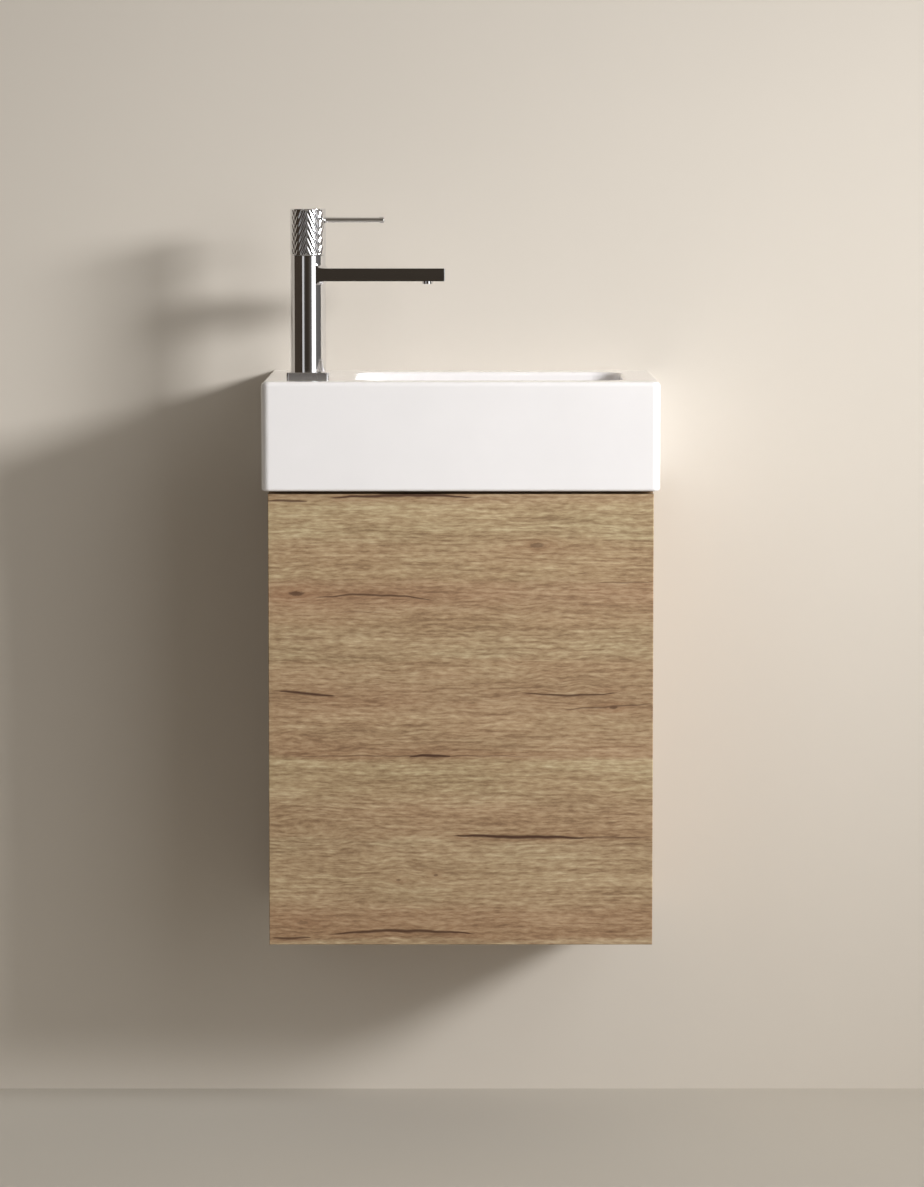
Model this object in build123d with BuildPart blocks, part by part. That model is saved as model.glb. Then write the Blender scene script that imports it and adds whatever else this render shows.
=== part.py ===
from build123d import *
import os
from math import cos, radians, sin, tan

os.makedirs("parts", exist_ok=True)

# Millimetres. X runs to the right as seen from the front, Y runs into the wall and Z is up.
# The wall is the plane Y = 0. The origin is the centre of the four screw holes of the wall plates.

# Driving sizes of the unit
basin_width = 400
basin_depth = 220
basin_height = 110
cabinet_width = 387
door_height = 457
door_thickness = 16
door_gap = 3
door_head_gap = 3
door_setback = 3
door_overhang = 2
panel_thickness = 16
hanger_drop = 60
fit = 0.05
running_fit = 0.08
air_gap = 0.3

# Levels and faces that follow from them
carcass_top = hanger_drop
carcass_front = -(basin_depth - door_setback - door_thickness - door_gap)
door_back = carcass_front - door_gap
door_front = door_back - door_thickness
door_top = carcass_top - door_head_gap
door_bottom = door_top - door_height
carcass_bottom = door_bottom + door_overhang
basin_top = carcass_top + basin_height
side_outer = cabinet_width / 2
side_inner = side_outer - panel_thickness

UP = (0, 0, 1)
DOWN = (0, 0, -1)
TO_WALL = (0, 1, 0)
TO_FRONT = (0, -1, 0)
TO_RIGHT = (1, 0, 0)
TO_LEFT = (-1, 0, 0)


def block(x_span, y_span, z_span, mode=Mode.ADD):
    """A box in the part being built, given by its low and high X, Y and Z."""
    spans = (x_span, y_span, z_span)
    middle = tuple((min(span) + max(span)) / 2 for span in spans)
    lengths = [abs(span[1] - span[0]) for span in spans]
    with Locations(middle):
        Box(*lengths, mode=mode)


def rod(radius, base, along, length, mode=Mode.ADD):
    """A round bar in the part being built, from the point base in the direction along."""
    with Locations(Plane(origin=base, z_dir=along)):
        Cylinder(radius, length, align=(Align.CENTER, Align.CENTER, Align.MIN), mode=mode)


def ring(outer_radius, inner_radius, base, along, length):
    """A round tube in the part being built, from the point base in the direction along."""
    rod(outer_radius, base, along, length)
    rod(inner_radius, base, along, length, mode=Mode.SUBTRACT)


# Basin: bowl to the right, tap deck to the left
tap_deck_width = 93
right_rim = 35
front_rim = 27
back_rim = 37
bowl_depth = 85
bowl_corner = 28
bowl_draft = 4
bowl_floor_radius = 14
rim_radius = 4
basin_corner = 8
basin_edge = 5
basin_foot_edge = 3
ceramic_wall = 12
deck_thickness = 14
front_wall = 35

bowl_left = -basin_width / 2 + tap_deck_width
bowl_right = basin_width / 2 - right_rim
bowl_front = -basin_depth + front_rim
bowl_back = -back_rim
bowl_floor = basin_top - bowl_depth
bowl_middle = ((bowl_left + bowl_right) / 2, (bowl_front + bowl_back) / 2)
waste_x, waste_y = bowl_middle

waste_hole = 23
waste_recess = 33.5
recess_depth = 3
boss_height = 20
boss_radius = 34
duct_half_width = 10
duct_height = 8
duct_wall = 8
duct_room = 8
recess_floor = bowl_floor - recess_depth
boss_bottom = recess_floor - boss_height
duct_bottom = boss_bottom + (boss_height - duct_height) / 2

overflow_drop = 38
overflow_hole = 11
overflow_z = basin_top - overflow_drop
overflow_y = bowl_back - overflow_drop * tan(radians(bowl_draft))
overflow_axis = (0, -cos(radians(bowl_draft)), sin(radians(bowl_draft)))
duct_front = -ceramic_wall - duct_room

# Tap
tap_from_side = 43.4
tap_x = -basin_width / 2 + tap_from_side
tap_y = -basin_depth / 2
tap_hole = 17.5

with BuildPart() as basin:
    block((-basin_width / 2, basin_width / 2), (-basin_depth, 0), (carcass_top, basin_top))
    fillet(basin.edges().filter_by(Axis.Z).group_by(Axis.Y)[0], radius=basin_corner)
    fillet(basin.faces().sort_by(Axis.Z)[-1].edges().sort_by(Axis.Y)[:-1], radius=basin_edge)
    fillet(basin.faces().sort_by(Axis.Z)[0].edges().sort_by(Axis.Y)[:-1], radius=basin_foot_edge)
    shell_side = basin_width / 2 - ceramic_wall
    block(
        (-shell_side, shell_side),
        (-basin_depth + front_wall, -ceramic_wall),
        (carcass_top, basin_top - deck_thickness),
        mode=Mode.SUBTRACT,
    )
    block(
        (bowl_left - ceramic_wall, bowl_right + ceramic_wall),
        (-basin_depth + front_wall, bowl_back + ceramic_wall),
        (bowl_floor - ceramic_wall, basin_top - deck_thickness),
    )
    rod(boss_radius, (waste_x, waste_y, boss_bottom), UP, boss_height)
    duct_side = duct_half_width + duct_wall
    block(
        (waste_x - duct_side, waste_x + duct_side),
        (waste_y, -ceramic_wall),
        (boss_bottom, recess_floor),
    )
    block(
        (waste_x - duct_side, waste_x + duct_side),
        (bowl_back, -ceramic_wall),
        (boss_bottom, basin_top - deck_thickness),
    )
    with BuildSketch(Plane.XY.offset(basin_top)):
        with Locations(bowl_middle):
            RectangleRounded(bowl_right - bowl_left, bowl_back - bowl_front, bowl_corner)
    extrude(amount=-bowl_depth, taper=bowl_draft, mode=Mode.SUBTRACT)
    near_floor = basin.edges().filter_by_position(Axis.Z, bowl_floor - 0.01, bowl_floor + 0.01)
    fillet(near_floor, radius=bowl_floor_radius)
    fillet(basin.faces().sort_by(Axis.Z)[-1].inner_wires()[0].edges(), radius=rim_radius)
    rod(waste_recess, (waste_x, waste_y, recess_floor), UP, recess_depth, mode=Mode.SUBTRACT)
    rod(waste_hole, (waste_x, waste_y, boss_bottom), UP, boss_height, mode=Mode.SUBTRACT)
    duct = (waste_x - duct_half_width, waste_x + duct_half_width)
    block(duct, (waste_y, -ceramic_wall), (duct_bottom, duct_bottom + duct_height), mode=Mode.SUBTRACT)
    block(
        duct,
        (duct_front, -ceramic_wall),
        (duct_bottom, overflow_z + overflow_hole),
        mode=Mode.SUBTRACT,
    )
    inward = tuple(-part for part in overflow_axis)
    rod(overflow_hole, (waste_x, overflow_y, overflow_z), inward, duct_wall + ceramic_wall, mode=Mode.SUBTRACT)
    rod(tap_hole, (tap_x, tap_y, basin_top), DOWN, deck_thickness, mode=Mode.SUBTRACT)

overflow_rim = 14
overflow_lip = 2
overflow_sleeve = 10
sleeve_wall = 1.5

with BuildPart() as overflow_ring:
    overflow_base = (waste_x, overflow_y, overflow_z)
    rod(overflow_rim, overflow_base, overflow_axis, overflow_lip)
    rod(overflow_hole - fit, overflow_base, inward, overflow_sleeve)
    bore_start = tuple(at + overflow_lip * part for at, part in zip(overflow_base, overflow_axis))
    bore_length = overflow_lip + overflow_sleeve
    rod(overflow_hole - sleeve_wall, bore_start, inward, bore_length, mode=Mode.SUBTRACT)

# Click waste: flanged body, cap on a spindle, seals and back nut
tail_radius = 20.9
tail_bore = 18
tail_length = 88
flange_radius = 32
flange_thickness = 2.5
flange_edge = 1
seal_thickness = 1
foot_seal_thickness = 3
seal_radius = 31
spindle_radius = 4
bridge_drop = 2
bridge_height = 6
bridge_hub = 7
bridge_arm = 4
cap_radius = 31
cap_thickness = 3.5
cap_edge = 2
back_nut_height = 8
back_nut_across = 50
flange_bottom = recess_floor + seal_thickness
flange_top = flange_bottom + flange_thickness
tail_bottom = flange_bottom - tail_length
cap_bottom = flange_top + air_gap
bridge_top = boss_bottom - bridge_drop

with BuildPart() as waste_body:
    rod(flange_radius, (waste_x, waste_y, flange_bottom), UP, flange_thickness)
    fillet(waste_body.faces().sort_by(Axis.Z)[-1].edges(), radius=flange_edge)
    rod(tail_radius, (waste_x, waste_y, tail_bottom), UP, tail_length)
    rod(tail_bore, (waste_x, waste_y, tail_bottom), UP, tail_length + flange_thickness, mode=Mode.SUBTRACT)
    block(
        (waste_x - duct_half_width, waste_x + duct_half_width),
        (waste_y - tail_radius, waste_y + tail_radius),
        (duct_bottom, duct_bottom + duct_height),
        mode=Mode.SUBTRACT,
    )
    bridge_span = (bridge_top - bridge_height, bridge_top)
    reach = tail_bore + (tail_radius - tail_bore) / 2
    half_arm = bridge_arm / 2
    block((waste_x - reach, waste_x + reach), (waste_y - half_arm, waste_y + half_arm), bridge_span)
    block((waste_x - half_arm, waste_x + half_arm), (waste_y - reach, waste_y + reach), bridge_span)
    rod(bridge_hub, (waste_x, waste_y, bridge_span[0]), UP, bridge_height)
    rod(
        spindle_radius + running_fit,
        (waste_x, waste_y, bridge_span[0]),
        UP,
        bridge_height,
        mode=Mode.SUBTRACT,
    )

with BuildPart() as waste_seals:
    ring(seal_radius, tail_radius + fit, (waste_x, waste_y, recess_floor), UP, seal_thickness)
    ring(seal_radius, tail_radius + fit, (waste_x, waste_y, boss_bottom), DOWN, foot_seal_thickness)

with BuildPart() as waste_nut:
    with BuildSketch(Plane.XY.offset(boss_bottom - foot_seal_thickness)):
        with Locations((waste_x, waste_y)):
            RegularPolygon(radius=back_nut_across / 2, side_count=6, major_radius=False)
            Circle(tail_radius + fit, mode=Mode.SUBTRACT)
    extrude(amount=-back_nut_height)

with BuildPart() as waste_plug:
    rod(cap_radius, (waste_x, waste_y, cap_bottom), UP, cap_thickness)
    fillet(waste_plug.faces().sort_by(Axis.Z)[-1].edges(), radius=cap_edge)

with BuildPart() as plug_spindle:
    rod(spindle_radius, (waste_x, waste_y, cap_bottom), DOWN, cap_bottom - bridge_span[0] + bridge_height)

# Bottle trap: inlet tube, bottle, cup, outlet pipe, three like nuts with their seals, wall rosette
pipe_radius = 16
pipe_wall = 1.8
tube_flange = 2
nut_shoulder = 4
nut_length = 20
nut_radius = 26
ring_seal = 2
tube_length = 109
neck_drop = 55
neck_length = 20
socket_bore = 16.6
bottle_radius = 30
bottle_wall = 2.5
bottle_roof = 4
bottle_height = 60
cup_wall = 2.5
cup_height = 22
cup_floor = 4
cup_overlap = 12
outlet_drop = 38
outlet_length = 52
outlet_insert = 12
outlet_in_wall = 30
spigot_step = 0.25
rosette_radius = 35
rosette_depth = 8

tube_top = tail_bottom - ring_seal
neck_top = tail_bottom - neck_drop
outlet_z = neck_top - outlet_drop
branch_end = waste_y + outlet_length
bottle_top = neck_top - neck_length
bottle_bottom = bottle_top - bottle_height

with BuildPart() as trap_inlet_tube:
    ring(tail_radius - air_gap, pipe_radius - pipe_wall, (waste_x, waste_y, tube_top), DOWN, tube_flange)
    ring(pipe_radius, pipe_radius - pipe_wall, (waste_x, waste_y, tube_top), DOWN, tube_length)

with BuildPart() as trap_body:
    rod(tail_radius, (waste_x, waste_y, neck_top), DOWN, neck_length)
    rod(bottle_radius, (waste_x, waste_y, bottle_top), DOWN, bottle_height)
    rod(tail_radius, (waste_x, waste_y, outlet_z), TO_WALL, outlet_length)
    rod(socket_bore, (waste_x, waste_y, neck_top), DOWN, neck_length + bottle_roof, mode=Mode.SUBTRACT)
    rod(
        bottle_radius - bottle_wall,
        (waste_x, waste_y, bottle_top - bottle_roof),
        DOWN,
        bottle_height - bottle_roof,
        mode=Mode.SUBTRACT,
    )
    rod(socket_bore, (waste_x, waste_y, outlet_z), TO_WALL, outlet_length, mode=Mode.SUBTRACT)

with BuildPart() as trap_cup:
    cup_top = bottle_bottom + cup_overlap
    rod(bottle_radius + fit + cup_wall, (waste_x, waste_y, cup_top), DOWN, cup_height)
    fillet(trap_cup.faces().sort_by(Axis.Z)[0].edges(), radius=cup_wall)
    rod(bottle_radius + fit, (waste_x, waste_y, cup_top), DOWN, cup_height - cup_floor, mode=Mode.SUBTRACT)

with BuildPart() as trap_outlet_pipe:
    pipe_start = branch_end - outlet_insert
    rod(pipe_radius, (waste_x, pipe_start, outlet_z), TO_WALL, -pipe_start)
    rod(pipe_radius - spigot_step, (waste_x, 0, outlet_z), TO_WALL, outlet_in_wall)
    pipe_length = outlet_in_wall - pipe_start
    pipe_bore = pipe_radius - pipe_wall
    rod(pipe_bore, (waste_x, pipe_start, outlet_z), TO_WALL, pipe_length, mode=Mode.SUBTRACT)

# Each nut has its shoulder end, the direction to its thread, and the room between shoulder and thread
nut_seats = [
    ((waste_x, waste_y, tube_top - tube_flange - nut_shoulder), UP),
    ((waste_x, waste_y, neck_top + ring_seal + nut_shoulder), DOWN),
    ((waste_x, branch_end + ring_seal + nut_shoulder, outlet_z), TO_FRONT),
]

with BuildPart() as trap_nuts:
    for nut_base, nut_direction in nut_seats:
        with BuildSketch(Plane(origin=nut_base, z_dir=nut_direction)):
            RegularPolygon(radius=nut_radius, side_count=8)
            Circle(pipe_radius + fit, mode=Mode.SUBTRACT)
        extrude(amount=nut_length)
        thread_start = tuple(at + nut_shoulder * part for at, part in zip(nut_base, nut_direction))
        rod(tail_radius + fit, thread_start, nut_direction, nut_length - nut_shoulder, mode=Mode.SUBTRACT)

seal_seats = [
    ((waste_x, waste_y, tail_bottom), DOWN),
    ((waste_x, waste_y, neck_top), UP),
    ((waste_x, branch_end, outlet_z), TO_WALL),
]

with BuildPart() as trap_seals:
    for seal_base, seal_direction in seal_seats:
        ring(tail_radius - air_gap, pipe_radius + fit, seal_base, seal_direction, ring_seal)

with BuildPart() as wall_rosette:
    with Locations(Plane(origin=(waste_x, 0, outlet_z), z_dir=TO_FRONT)):
        Cone(
            bottom_radius=rosette_radius,
            top_radius=pipe_radius + cup_wall,
            height=rosette_depth,
            align=(Align.CENTER, Align.CENTER, Align.MIN),
        )
    rod(pipe_radius + fit, (waste_x, 0, outlet_z), TO_FRONT, rosette_depth, mode=Mode.SUBTRACT)

# Carcass: two sides, a bottom, a front rail, two back rails and a shelf
front_rail_depth = 50
back_rail_inset = 20
back_rail_height = 80
shelf_drop = 260
shelf_front_inset = 12
shelf_back_inset = 40
shelf_side_gap = 1
dowel_radius = 4
dowel_length = 30
dowel_in_side = 11
cam_radius = 7.5
cam_depth = 12.5
cam_inset = 24
bolt_radius = 3
pin_radius = 2.5
pin_depth = 10
pin_reach = 8
pin_from_front = 38
pin_from_wall = 70
front_dowel_row = 38
back_dowel_row = 42
front_cam_row = 68
back_cam_row = 82
rail_cam_row = 14
rail_dowel_rise = 12
rail_dowel_drop = 18
top_cam_rise = 32
low_cam_rise = 27

side_span = (carcass_front, 0)
height_span = (carcass_bottom, carcass_top)
bottom_span = (carcass_bottom, carcass_bottom + panel_thickness)
bottom_middle = carcass_bottom + panel_thickness / 2
front_rail_span = (carcass_top - panel_thickness, carcass_top)
front_rail_middle = carcass_top - panel_thickness / 2
back_rail_span = (-back_rail_inset - panel_thickness, -back_rail_inset)
back_rail_middle = -back_rail_inset - panel_thickness / 2
top_rail_span = (carcass_top - back_rail_height, carcass_top)
low_rail_span = (bottom_span[1], bottom_span[1] + back_rail_height)
shelf_height = carcass_top - shelf_drop
shelf_bottom = shelf_height - panel_thickness
pin_rows = (carcass_front + pin_from_front, -pin_from_wall)

dowel_points = [
    (carcass_front + front_dowel_row, bottom_middle),
    (-back_dowel_row, bottom_middle),
    (carcass_front + front_dowel_row, front_rail_middle),
    (back_rail_middle, top_rail_span[0] + rail_dowel_rise),
    (back_rail_middle, low_rail_span[1] - rail_dowel_drop),
]
# Each cam joint: Y and Z of its bolt, and the direction from the cam's open face into the panel
cam_points = [
    (carcass_front + front_cam_row, bottom_middle, UP),
    (-back_cam_row, bottom_middle, UP),
    (carcass_front + rail_cam_row, front_rail_middle, UP),
    (back_rail_middle, top_rail_span[0] + top_cam_rise, TO_WALL),
    (back_rail_middle, low_rail_span[0] + low_cam_rise, TO_WALL),
]


def cam_base(side, joint_y, joint_z, direction):
    """The middle of a cam's open face, half a panel from its bolt's axis."""
    back = panel_thickness / 2
    return (side * (side_inner - cam_inset), joint_y - back * direction[1], joint_z - back * direction[2])


def drill_joints():
    """Cuts the dowel, bolt and cam holes of the carcass joints in the part being built."""
    for side in (-1, 1):
        inward_x = (-side, 0, 0)
        for joint_y, joint_z in dowel_points:
            dowel_end = (side * (side_inner + dowel_in_side), joint_y, joint_z)
            rod(dowel_radius + fit, dowel_end, inward_x, dowel_length, mode=Mode.SUBTRACT)
        for joint_y, joint_z, direction in cam_points:
            bolt_end = (side * (side_inner + dowel_in_side), joint_y, joint_z)
            rod(bolt_radius + fit, bolt_end, inward_x, dowel_in_side + cam_inset, mode=Mode.SUBTRACT)
            base = cam_base(side, joint_y, joint_z, direction)
            rod(cam_radius + fit, base, direction, cam_depth, mode=Mode.SUBTRACT)


with BuildPart() as carcass_dowels:
    for side in (-1, 1):
        for joint_y, joint_z in dowel_points:
            dowel_end = (side * (side_inner + dowel_in_side), joint_y, joint_z)
            rod(dowel_radius, dowel_end, (-side, 0, 0), dowel_length)

with BuildPart() as cam_bolts:
    for side in (-1, 1):
        for joint_y, joint_z, direction in cam_points:
            bolt_end = (side * (side_inner + dowel_in_side), joint_y, joint_z)
            rod(bolt_radius, bolt_end, (-side, 0, 0), dowel_in_side + cam_inset)

with BuildPart() as cam_locks:
    for side in (-1, 1):
        for joint_y, joint_z, direction in cam_points:
            rod(cam_radius, cam_base(side, joint_y, joint_z, direction), direction, cam_depth)
            mouth = (side * side_inner, joint_y, joint_z)
            rod(bolt_radius + air_gap, mouth, (-side, 0, 0), cam_inset + air_gap, mode=Mode.SUBTRACT)

with BuildPart() as shelf_pins:
    for side in (-1, 1):
        for row in pin_rows:
            pin_end = (side * (side_inner + pin_depth), row, shelf_bottom - pin_radius)
            rod(pin_radius, pin_end, (-side, 0, 0), pin_depth + pin_reach)

# Hinges: a cup in the door turns on a pin that the goosenecked arm of the carcass carries
hinge_offset = 95
pivot_in = 8
pivot_depth = 7
door_relief = 2
door_edge_round = 0.8
hinge_pin_radius = 1.25
hinge_pin_half = 9
knuckle_radius = 3
arm_thickness = 2.5
arm_half_width = 5.7
arm_throw = 11.5
arm_end_depth = 50
pocket_half = 6
pocket_gap = 0.4
cup_radius = 17.5
cup_edge_distance = 3
cup_depth = 11.5
flange_plate = 1
flange_half = 27
flange_out = 16
cup_screw_spread = 22.5
cup_screw_offset = 9.5
cup_screw_head_height = 1.5
plate_line = 37
plate_half_length = 18
plate_half_height = 22
plate_screw_spread = 16
screw_radius = 2
screw_head = 4
screw_head_height = 2
screw_bite = 11

door_left = -side_outer
pivot_x = door_left + pivot_in
pivot_y = door_back - pivot_depth
cup_x = door_left + cup_edge_distance + cup_radius
arm_x = pivot_x + arm_throw
arm_inner_face = arm_x - arm_thickness / 2
arm_outer_face = arm_x + arm_thickness / 2
arm_end = carcass_front + arm_end_depth
plate_y = carcass_front + plate_line
hinge_heights = (door_top - hinge_offset, door_bottom + hinge_offset)
pocket_reach = ((arm_throw + arm_thickness / 2) ** 2 + (arm_thickness / 2) ** 2) ** 0.5 + pocket_gap


def hinge_plate_at(height):
    """The mounting plate of one hinge, flat on the left side panel."""
    with BuildPart() as plate:
        block(
            (-side_inner, arm_inner_face),
            (plate_y - plate_half_length, plate_y + plate_half_length),
            (height - plate_half_height, height + plate_half_height),
        )
        for way in (-1, 1):
            hole_base = (-side_inner, plate_y, height + way * plate_screw_spread)
            rod(screw_radius + fit, hole_base, TO_RIGHT, arm_inner_face + side_inner, mode=Mode.SUBTRACT)
        rod(screw_radius + fit, (-side_inner, plate_y, height), TO_RIGHT, screw_head, mode=Mode.SUBTRACT)
    return plate


def hinge_arm_at(height):
    """The goosenecked arm of one hinge, from its knuckle in the cup back to the plate."""
    with BuildPart() as arm:
        low = height - arm_half_width
        high = height + arm_half_width
        block(
            (pivot_x, arm_outer_face),
            (pivot_y - arm_thickness / 2, pivot_y + arm_thickness / 2),
            (low, high),
        )
        block((arm_inner_face, arm_outer_face), (pivot_y - arm_thickness / 2, arm_end), (low, high))
        rod(knuckle_radius, (pivot_x, pivot_y, low), UP, 2 * arm_half_width)
        rod(hinge_pin_radius + running_fit, (pivot_x, pivot_y, low), UP, 2 * arm_half_width, mode=Mode.SUBTRACT)
        rod(screw_radius + fit, (arm_inner_face, plate_y, height), TO_RIGHT, arm_thickness, mode=Mode.SUBTRACT)
    return arm


def hinge_cup_at(height):
    """The cup of one hinge, let into the back of the door, with its screw flange."""
    with BuildPart() as cup:
        rod(cup_radius, (cup_x, door_back, height), TO_FRONT, cup_depth)
        rod(cup_radius, (cup_x, door_back, height), TO_WALL, flange_plate)
        block(
            (cup_x + screw_head, cup_x + flange_out),
            (door_back, door_back + flange_plate),
            (height - flange_half, height + flange_half),
        )
        block(
            (pivot_x - knuckle_radius - pocket_gap, pivot_x + pocket_reach),
            (pivot_y - knuckle_radius - pocket_gap, door_back + flange_plate),
            (height - pocket_half, height + pocket_half),
            mode=Mode.SUBTRACT,
        )
        pin_base = (pivot_x, pivot_y, height - hinge_pin_half)
        rod(hinge_pin_radius, pin_base, UP, 2 * hinge_pin_half, mode=Mode.SUBTRACT)
        for way in (-1, 1):
            hole_base = (cup_x + cup_screw_offset, door_back, height + way * cup_screw_spread)
            rod(screw_radius + fit, hole_base, TO_WALL, flange_plate, mode=Mode.SUBTRACT)
    return cup


hinge_plate_upper = hinge_plate_at(hinge_heights[0])
hinge_plate_lower = hinge_plate_at(hinge_heights[1])
hinge_arm_upper = hinge_arm_at(hinge_heights[0])
hinge_arm_lower = hinge_arm_at(hinge_heights[1])
hinge_cup_upper = hinge_cup_at(hinge_heights[0])
hinge_cup_lower = hinge_cup_at(hinge_heights[1])

with BuildPart() as hinge_pins:
    for height in hinge_heights:
        rod(hinge_pin_radius, (pivot_x, pivot_y, height - hinge_pin_half), UP, 2 * hinge_pin_half)


def plate_screw_seats():
    """Head seat of every hinge screw in the carcass: two in each plate and one through each arm."""
    seats = []
    for height in hinge_heights:
        for way in (-1, 1):
            seats.append((arm_inner_face, plate_y, height + way * plate_screw_spread))
        seats.append((arm_outer_face, plate_y, height))
    return seats


with BuildPart() as hinge_screws:
    for seat in plate_screw_seats():
        rod(screw_head, seat, TO_RIGHT, screw_head_height)
        rod(screw_radius, seat, TO_LEFT, screw_bite)

with BuildPart() as hinge_cup_screws:
    for height in hinge_heights:
        for way in (-1, 1):
            hole_x = cup_x + cup_screw_offset
            seat = (hole_x, door_back + flange_plate, height + way * cup_screw_spread)
            rod(screw_head, seat, TO_WALL, cup_screw_head_height)
            rod(screw_radius, seat, TO_FRONT, screw_bite)

# Hangers: a housing on each side panel holds a hook that hangs on the lip of a wall plate
wall_plate_inset = 27.5
wall_plate_half_width = 26
wall_plate_low = -24
wall_plate_sheet = 2
wall_hole_rise = 12
wall_hole_radius = 3
lip_foot = 20
lip_height = 34
lip_out = 10
hook_thickness = 3
hook_height = 12
hook_finger = 10
hook_clear = 0.2
hook_inset = 7
hook_end_gap = 6
hook_wall_gap = 1
finger_gap = 0.5
hanger_thickness = 14
hanger_edge = 3
hanger_length = 59
hanger_back_gap = 1
hanger_low = 10
hanger_high = 56
hanger_screw_z = 20
hanger_screw_from_front = 8
hanger_screw_from_back = 13
rail_slot_clear = 3

wall_plate_x = side_inner - wall_plate_inset
hook_x_outer = side_inner - hook_inset
hook_x_inner = hook_x_outer - hook_thickness
hook_z = (lip_height, lip_height + hook_height)
hanger_back = back_rail_span[0] - hanger_back_gap
hanger_span = (hanger_back - hanger_length, hanger_back)
hanger_screw_rows = (hanger_span[0] + hanger_screw_from_front, hanger_span[1] - hanger_screw_from_back)
hook_front = hanger_span[0] + hook_end_gap


def mirrored(side, x_low, x_high):
    """An X span given for the right-hand side, turned over for the left when side is -1."""
    return tuple(sorted((side * x_low, side * x_high)))


def hanger_at(side):
    """The hanger housing on one side panel, with the slot that its hook lies in."""
    with BuildPart() as hanger:
        block(mirrored(side, side_inner - hanger_thickness, side_inner), hanger_span, (hanger_low, hanger_high))
        fillet(hanger.edges().filter_by(Axis.X), radius=hanger_edge)
        block(
            mirrored(side, hook_x_inner - hook_clear, hook_x_outer + hook_clear),
            (hook_front - hook_clear, hanger_span[1]),
            (hook_z[0] - hook_clear, hook_z[1] + hook_clear),
            mode=Mode.SUBTRACT,
        )
        for row in hanger_screw_rows:
            seat = (side * (side_inner - hanger_thickness), row, hanger_screw_z)
            rod(screw_radius + fit, seat, (side, 0, 0), hanger_thickness, mode=Mode.SUBTRACT)
    return hanger


def wall_plate_at(side):
    """One wall plate: a flat sheet with two screw holes and a lip that stands off the wall."""
    span = (side * wall_plate_x - wall_plate_half_width, side * wall_plate_x + wall_plate_half_width)
    with BuildPart() as plate:
        block(span, (-wall_plate_sheet, 0), (wall_plate_low, lip_foot + wall_plate_sheet))
        block(span, (-lip_out, 0), (lip_foot, lip_foot + wall_plate_sheet))
        block(span, (-lip_out, -lip_out + wall_plate_sheet), (lip_foot, lip_height))
        for rise in (-wall_hole_rise, wall_hole_rise):
            hole_base = (side * wall_plate_x, 0, rise)
            rod(wall_hole_radius, hole_base, TO_FRONT, wall_plate_sheet, mode=Mode.SUBTRACT)
    return plate


hanger_left = hanger_at(-1)
hanger_right = hanger_at(1)
wall_plate_left = wall_plate_at(-1)
wall_plate_right = wall_plate_at(1)

with BuildPart() as hanger_hooks:
    hook_back = -wall_plate_sheet - hook_wall_gap
    for side in (-1, 1):
        hook_span = mirrored(side, hook_x_inner, hook_x_outer)
        block(hook_span, (hook_front, hook_back), hook_z)
        finger_front = -lip_out + wall_plate_sheet + finger_gap
        block(hook_span, (finger_front, hook_back), (lip_height - hook_finger, lip_height))

with BuildPart() as hanger_screws:
    for side in (-1, 1):
        for row in hanger_screw_rows:
            seat = (side * (side_inner - hanger_thickness), row, hanger_screw_z)
            rod(screw_head, seat, (-side, 0, 0), screw_head_height)
            rod(screw_radius, seat, (side, 0, 0), hanger_thickness + screw_bite)


def side_panel_at(side):
    """One side panel, with the holes of its joints, shelf pins, hanger and hinges."""
    with BuildPart() as panel:
        block(mirrored(side, side_inner, side_outer), side_span, height_span)
        drill_joints()
        for row in pin_rows:
            pin_end = (side * (side_inner + pin_depth), row, shelf_bottom - pin_radius)
            rod(pin_radius + fit, pin_end, (-side, 0, 0), pin_depth, mode=Mode.SUBTRACT)
        for row in hanger_screw_rows:
            hole_base = (side * side_inner, row, hanger_screw_z)
            rod(screw_radius + fit, hole_base, (side, 0, 0), screw_bite + fit, mode=Mode.SUBTRACT)
        if side < 0:
            for seat in plate_screw_seats():
                rod(screw_radius + fit, seat, TO_LEFT, screw_bite + fit, mode=Mode.SUBTRACT)
    return panel


side_panel_left = side_panel_at(-1)
side_panel_right = side_panel_at(1)

with BuildPart() as bottom_panel:
    block((-side_inner, side_inner), side_span, bottom_span)
    drill_joints()

# Push latch under the front rail: a housing, a plunger on a slide, and a strike plate on the door
latch_inset = 30
latch_half_width = 13
latch_height = 14
latch_length = 65
latch_front_inset = 2
plunger_radius = 3.5
plunger_length = 50
plunger_stroke = 20
latch_screw_offset = 9
latch_screw_row = 31
latch_screw_radius = 1.75
latch_screw_bite = 10
latch_head_rim = 1.5
latch_edge = 1.5
plunger_edge = 1
strike_radius = 9
strike_thickness = 1

latch_x = side_inner - latch_inset
latch_top = front_rail_span[0]
latch_z = latch_top - latch_height / 2
latch_front = carcass_front + latch_front_inset
strike_face = door_back + strike_thickness
plunger_tip = strike_face + air_gap
latch_screw_y = latch_front + latch_screw_row

with BuildPart() as top_rail_front:
    block((-side_inner, side_inner), (carcass_front, carcass_front + front_rail_depth), front_rail_span)
    drill_joints()
    for way in (-1, 1):
        hole_base = (latch_x + way * latch_screw_offset, latch_screw_y, latch_top)
        rod(latch_screw_radius + fit, hole_base, UP, latch_screw_bite + fit, mode=Mode.SUBTRACT)

with BuildPart() as top_rail_back:
    block((-side_inner, side_inner), back_rail_span, top_rail_span)
    drill_joints()
    for side in (-1, 1):
        block(
            mirrored(side, hook_x_inner - rail_slot_clear, hook_x_outer + rail_slot_clear),
            back_rail_span,
            (hook_z[0] - rail_slot_clear, hook_z[1] + rail_slot_clear),
            mode=Mode.SUBTRACT,
        )

with BuildPart() as back_rail_bottom:
    block((-side_inner, side_inner), back_rail_span, low_rail_span)
    drill_joints()

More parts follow.
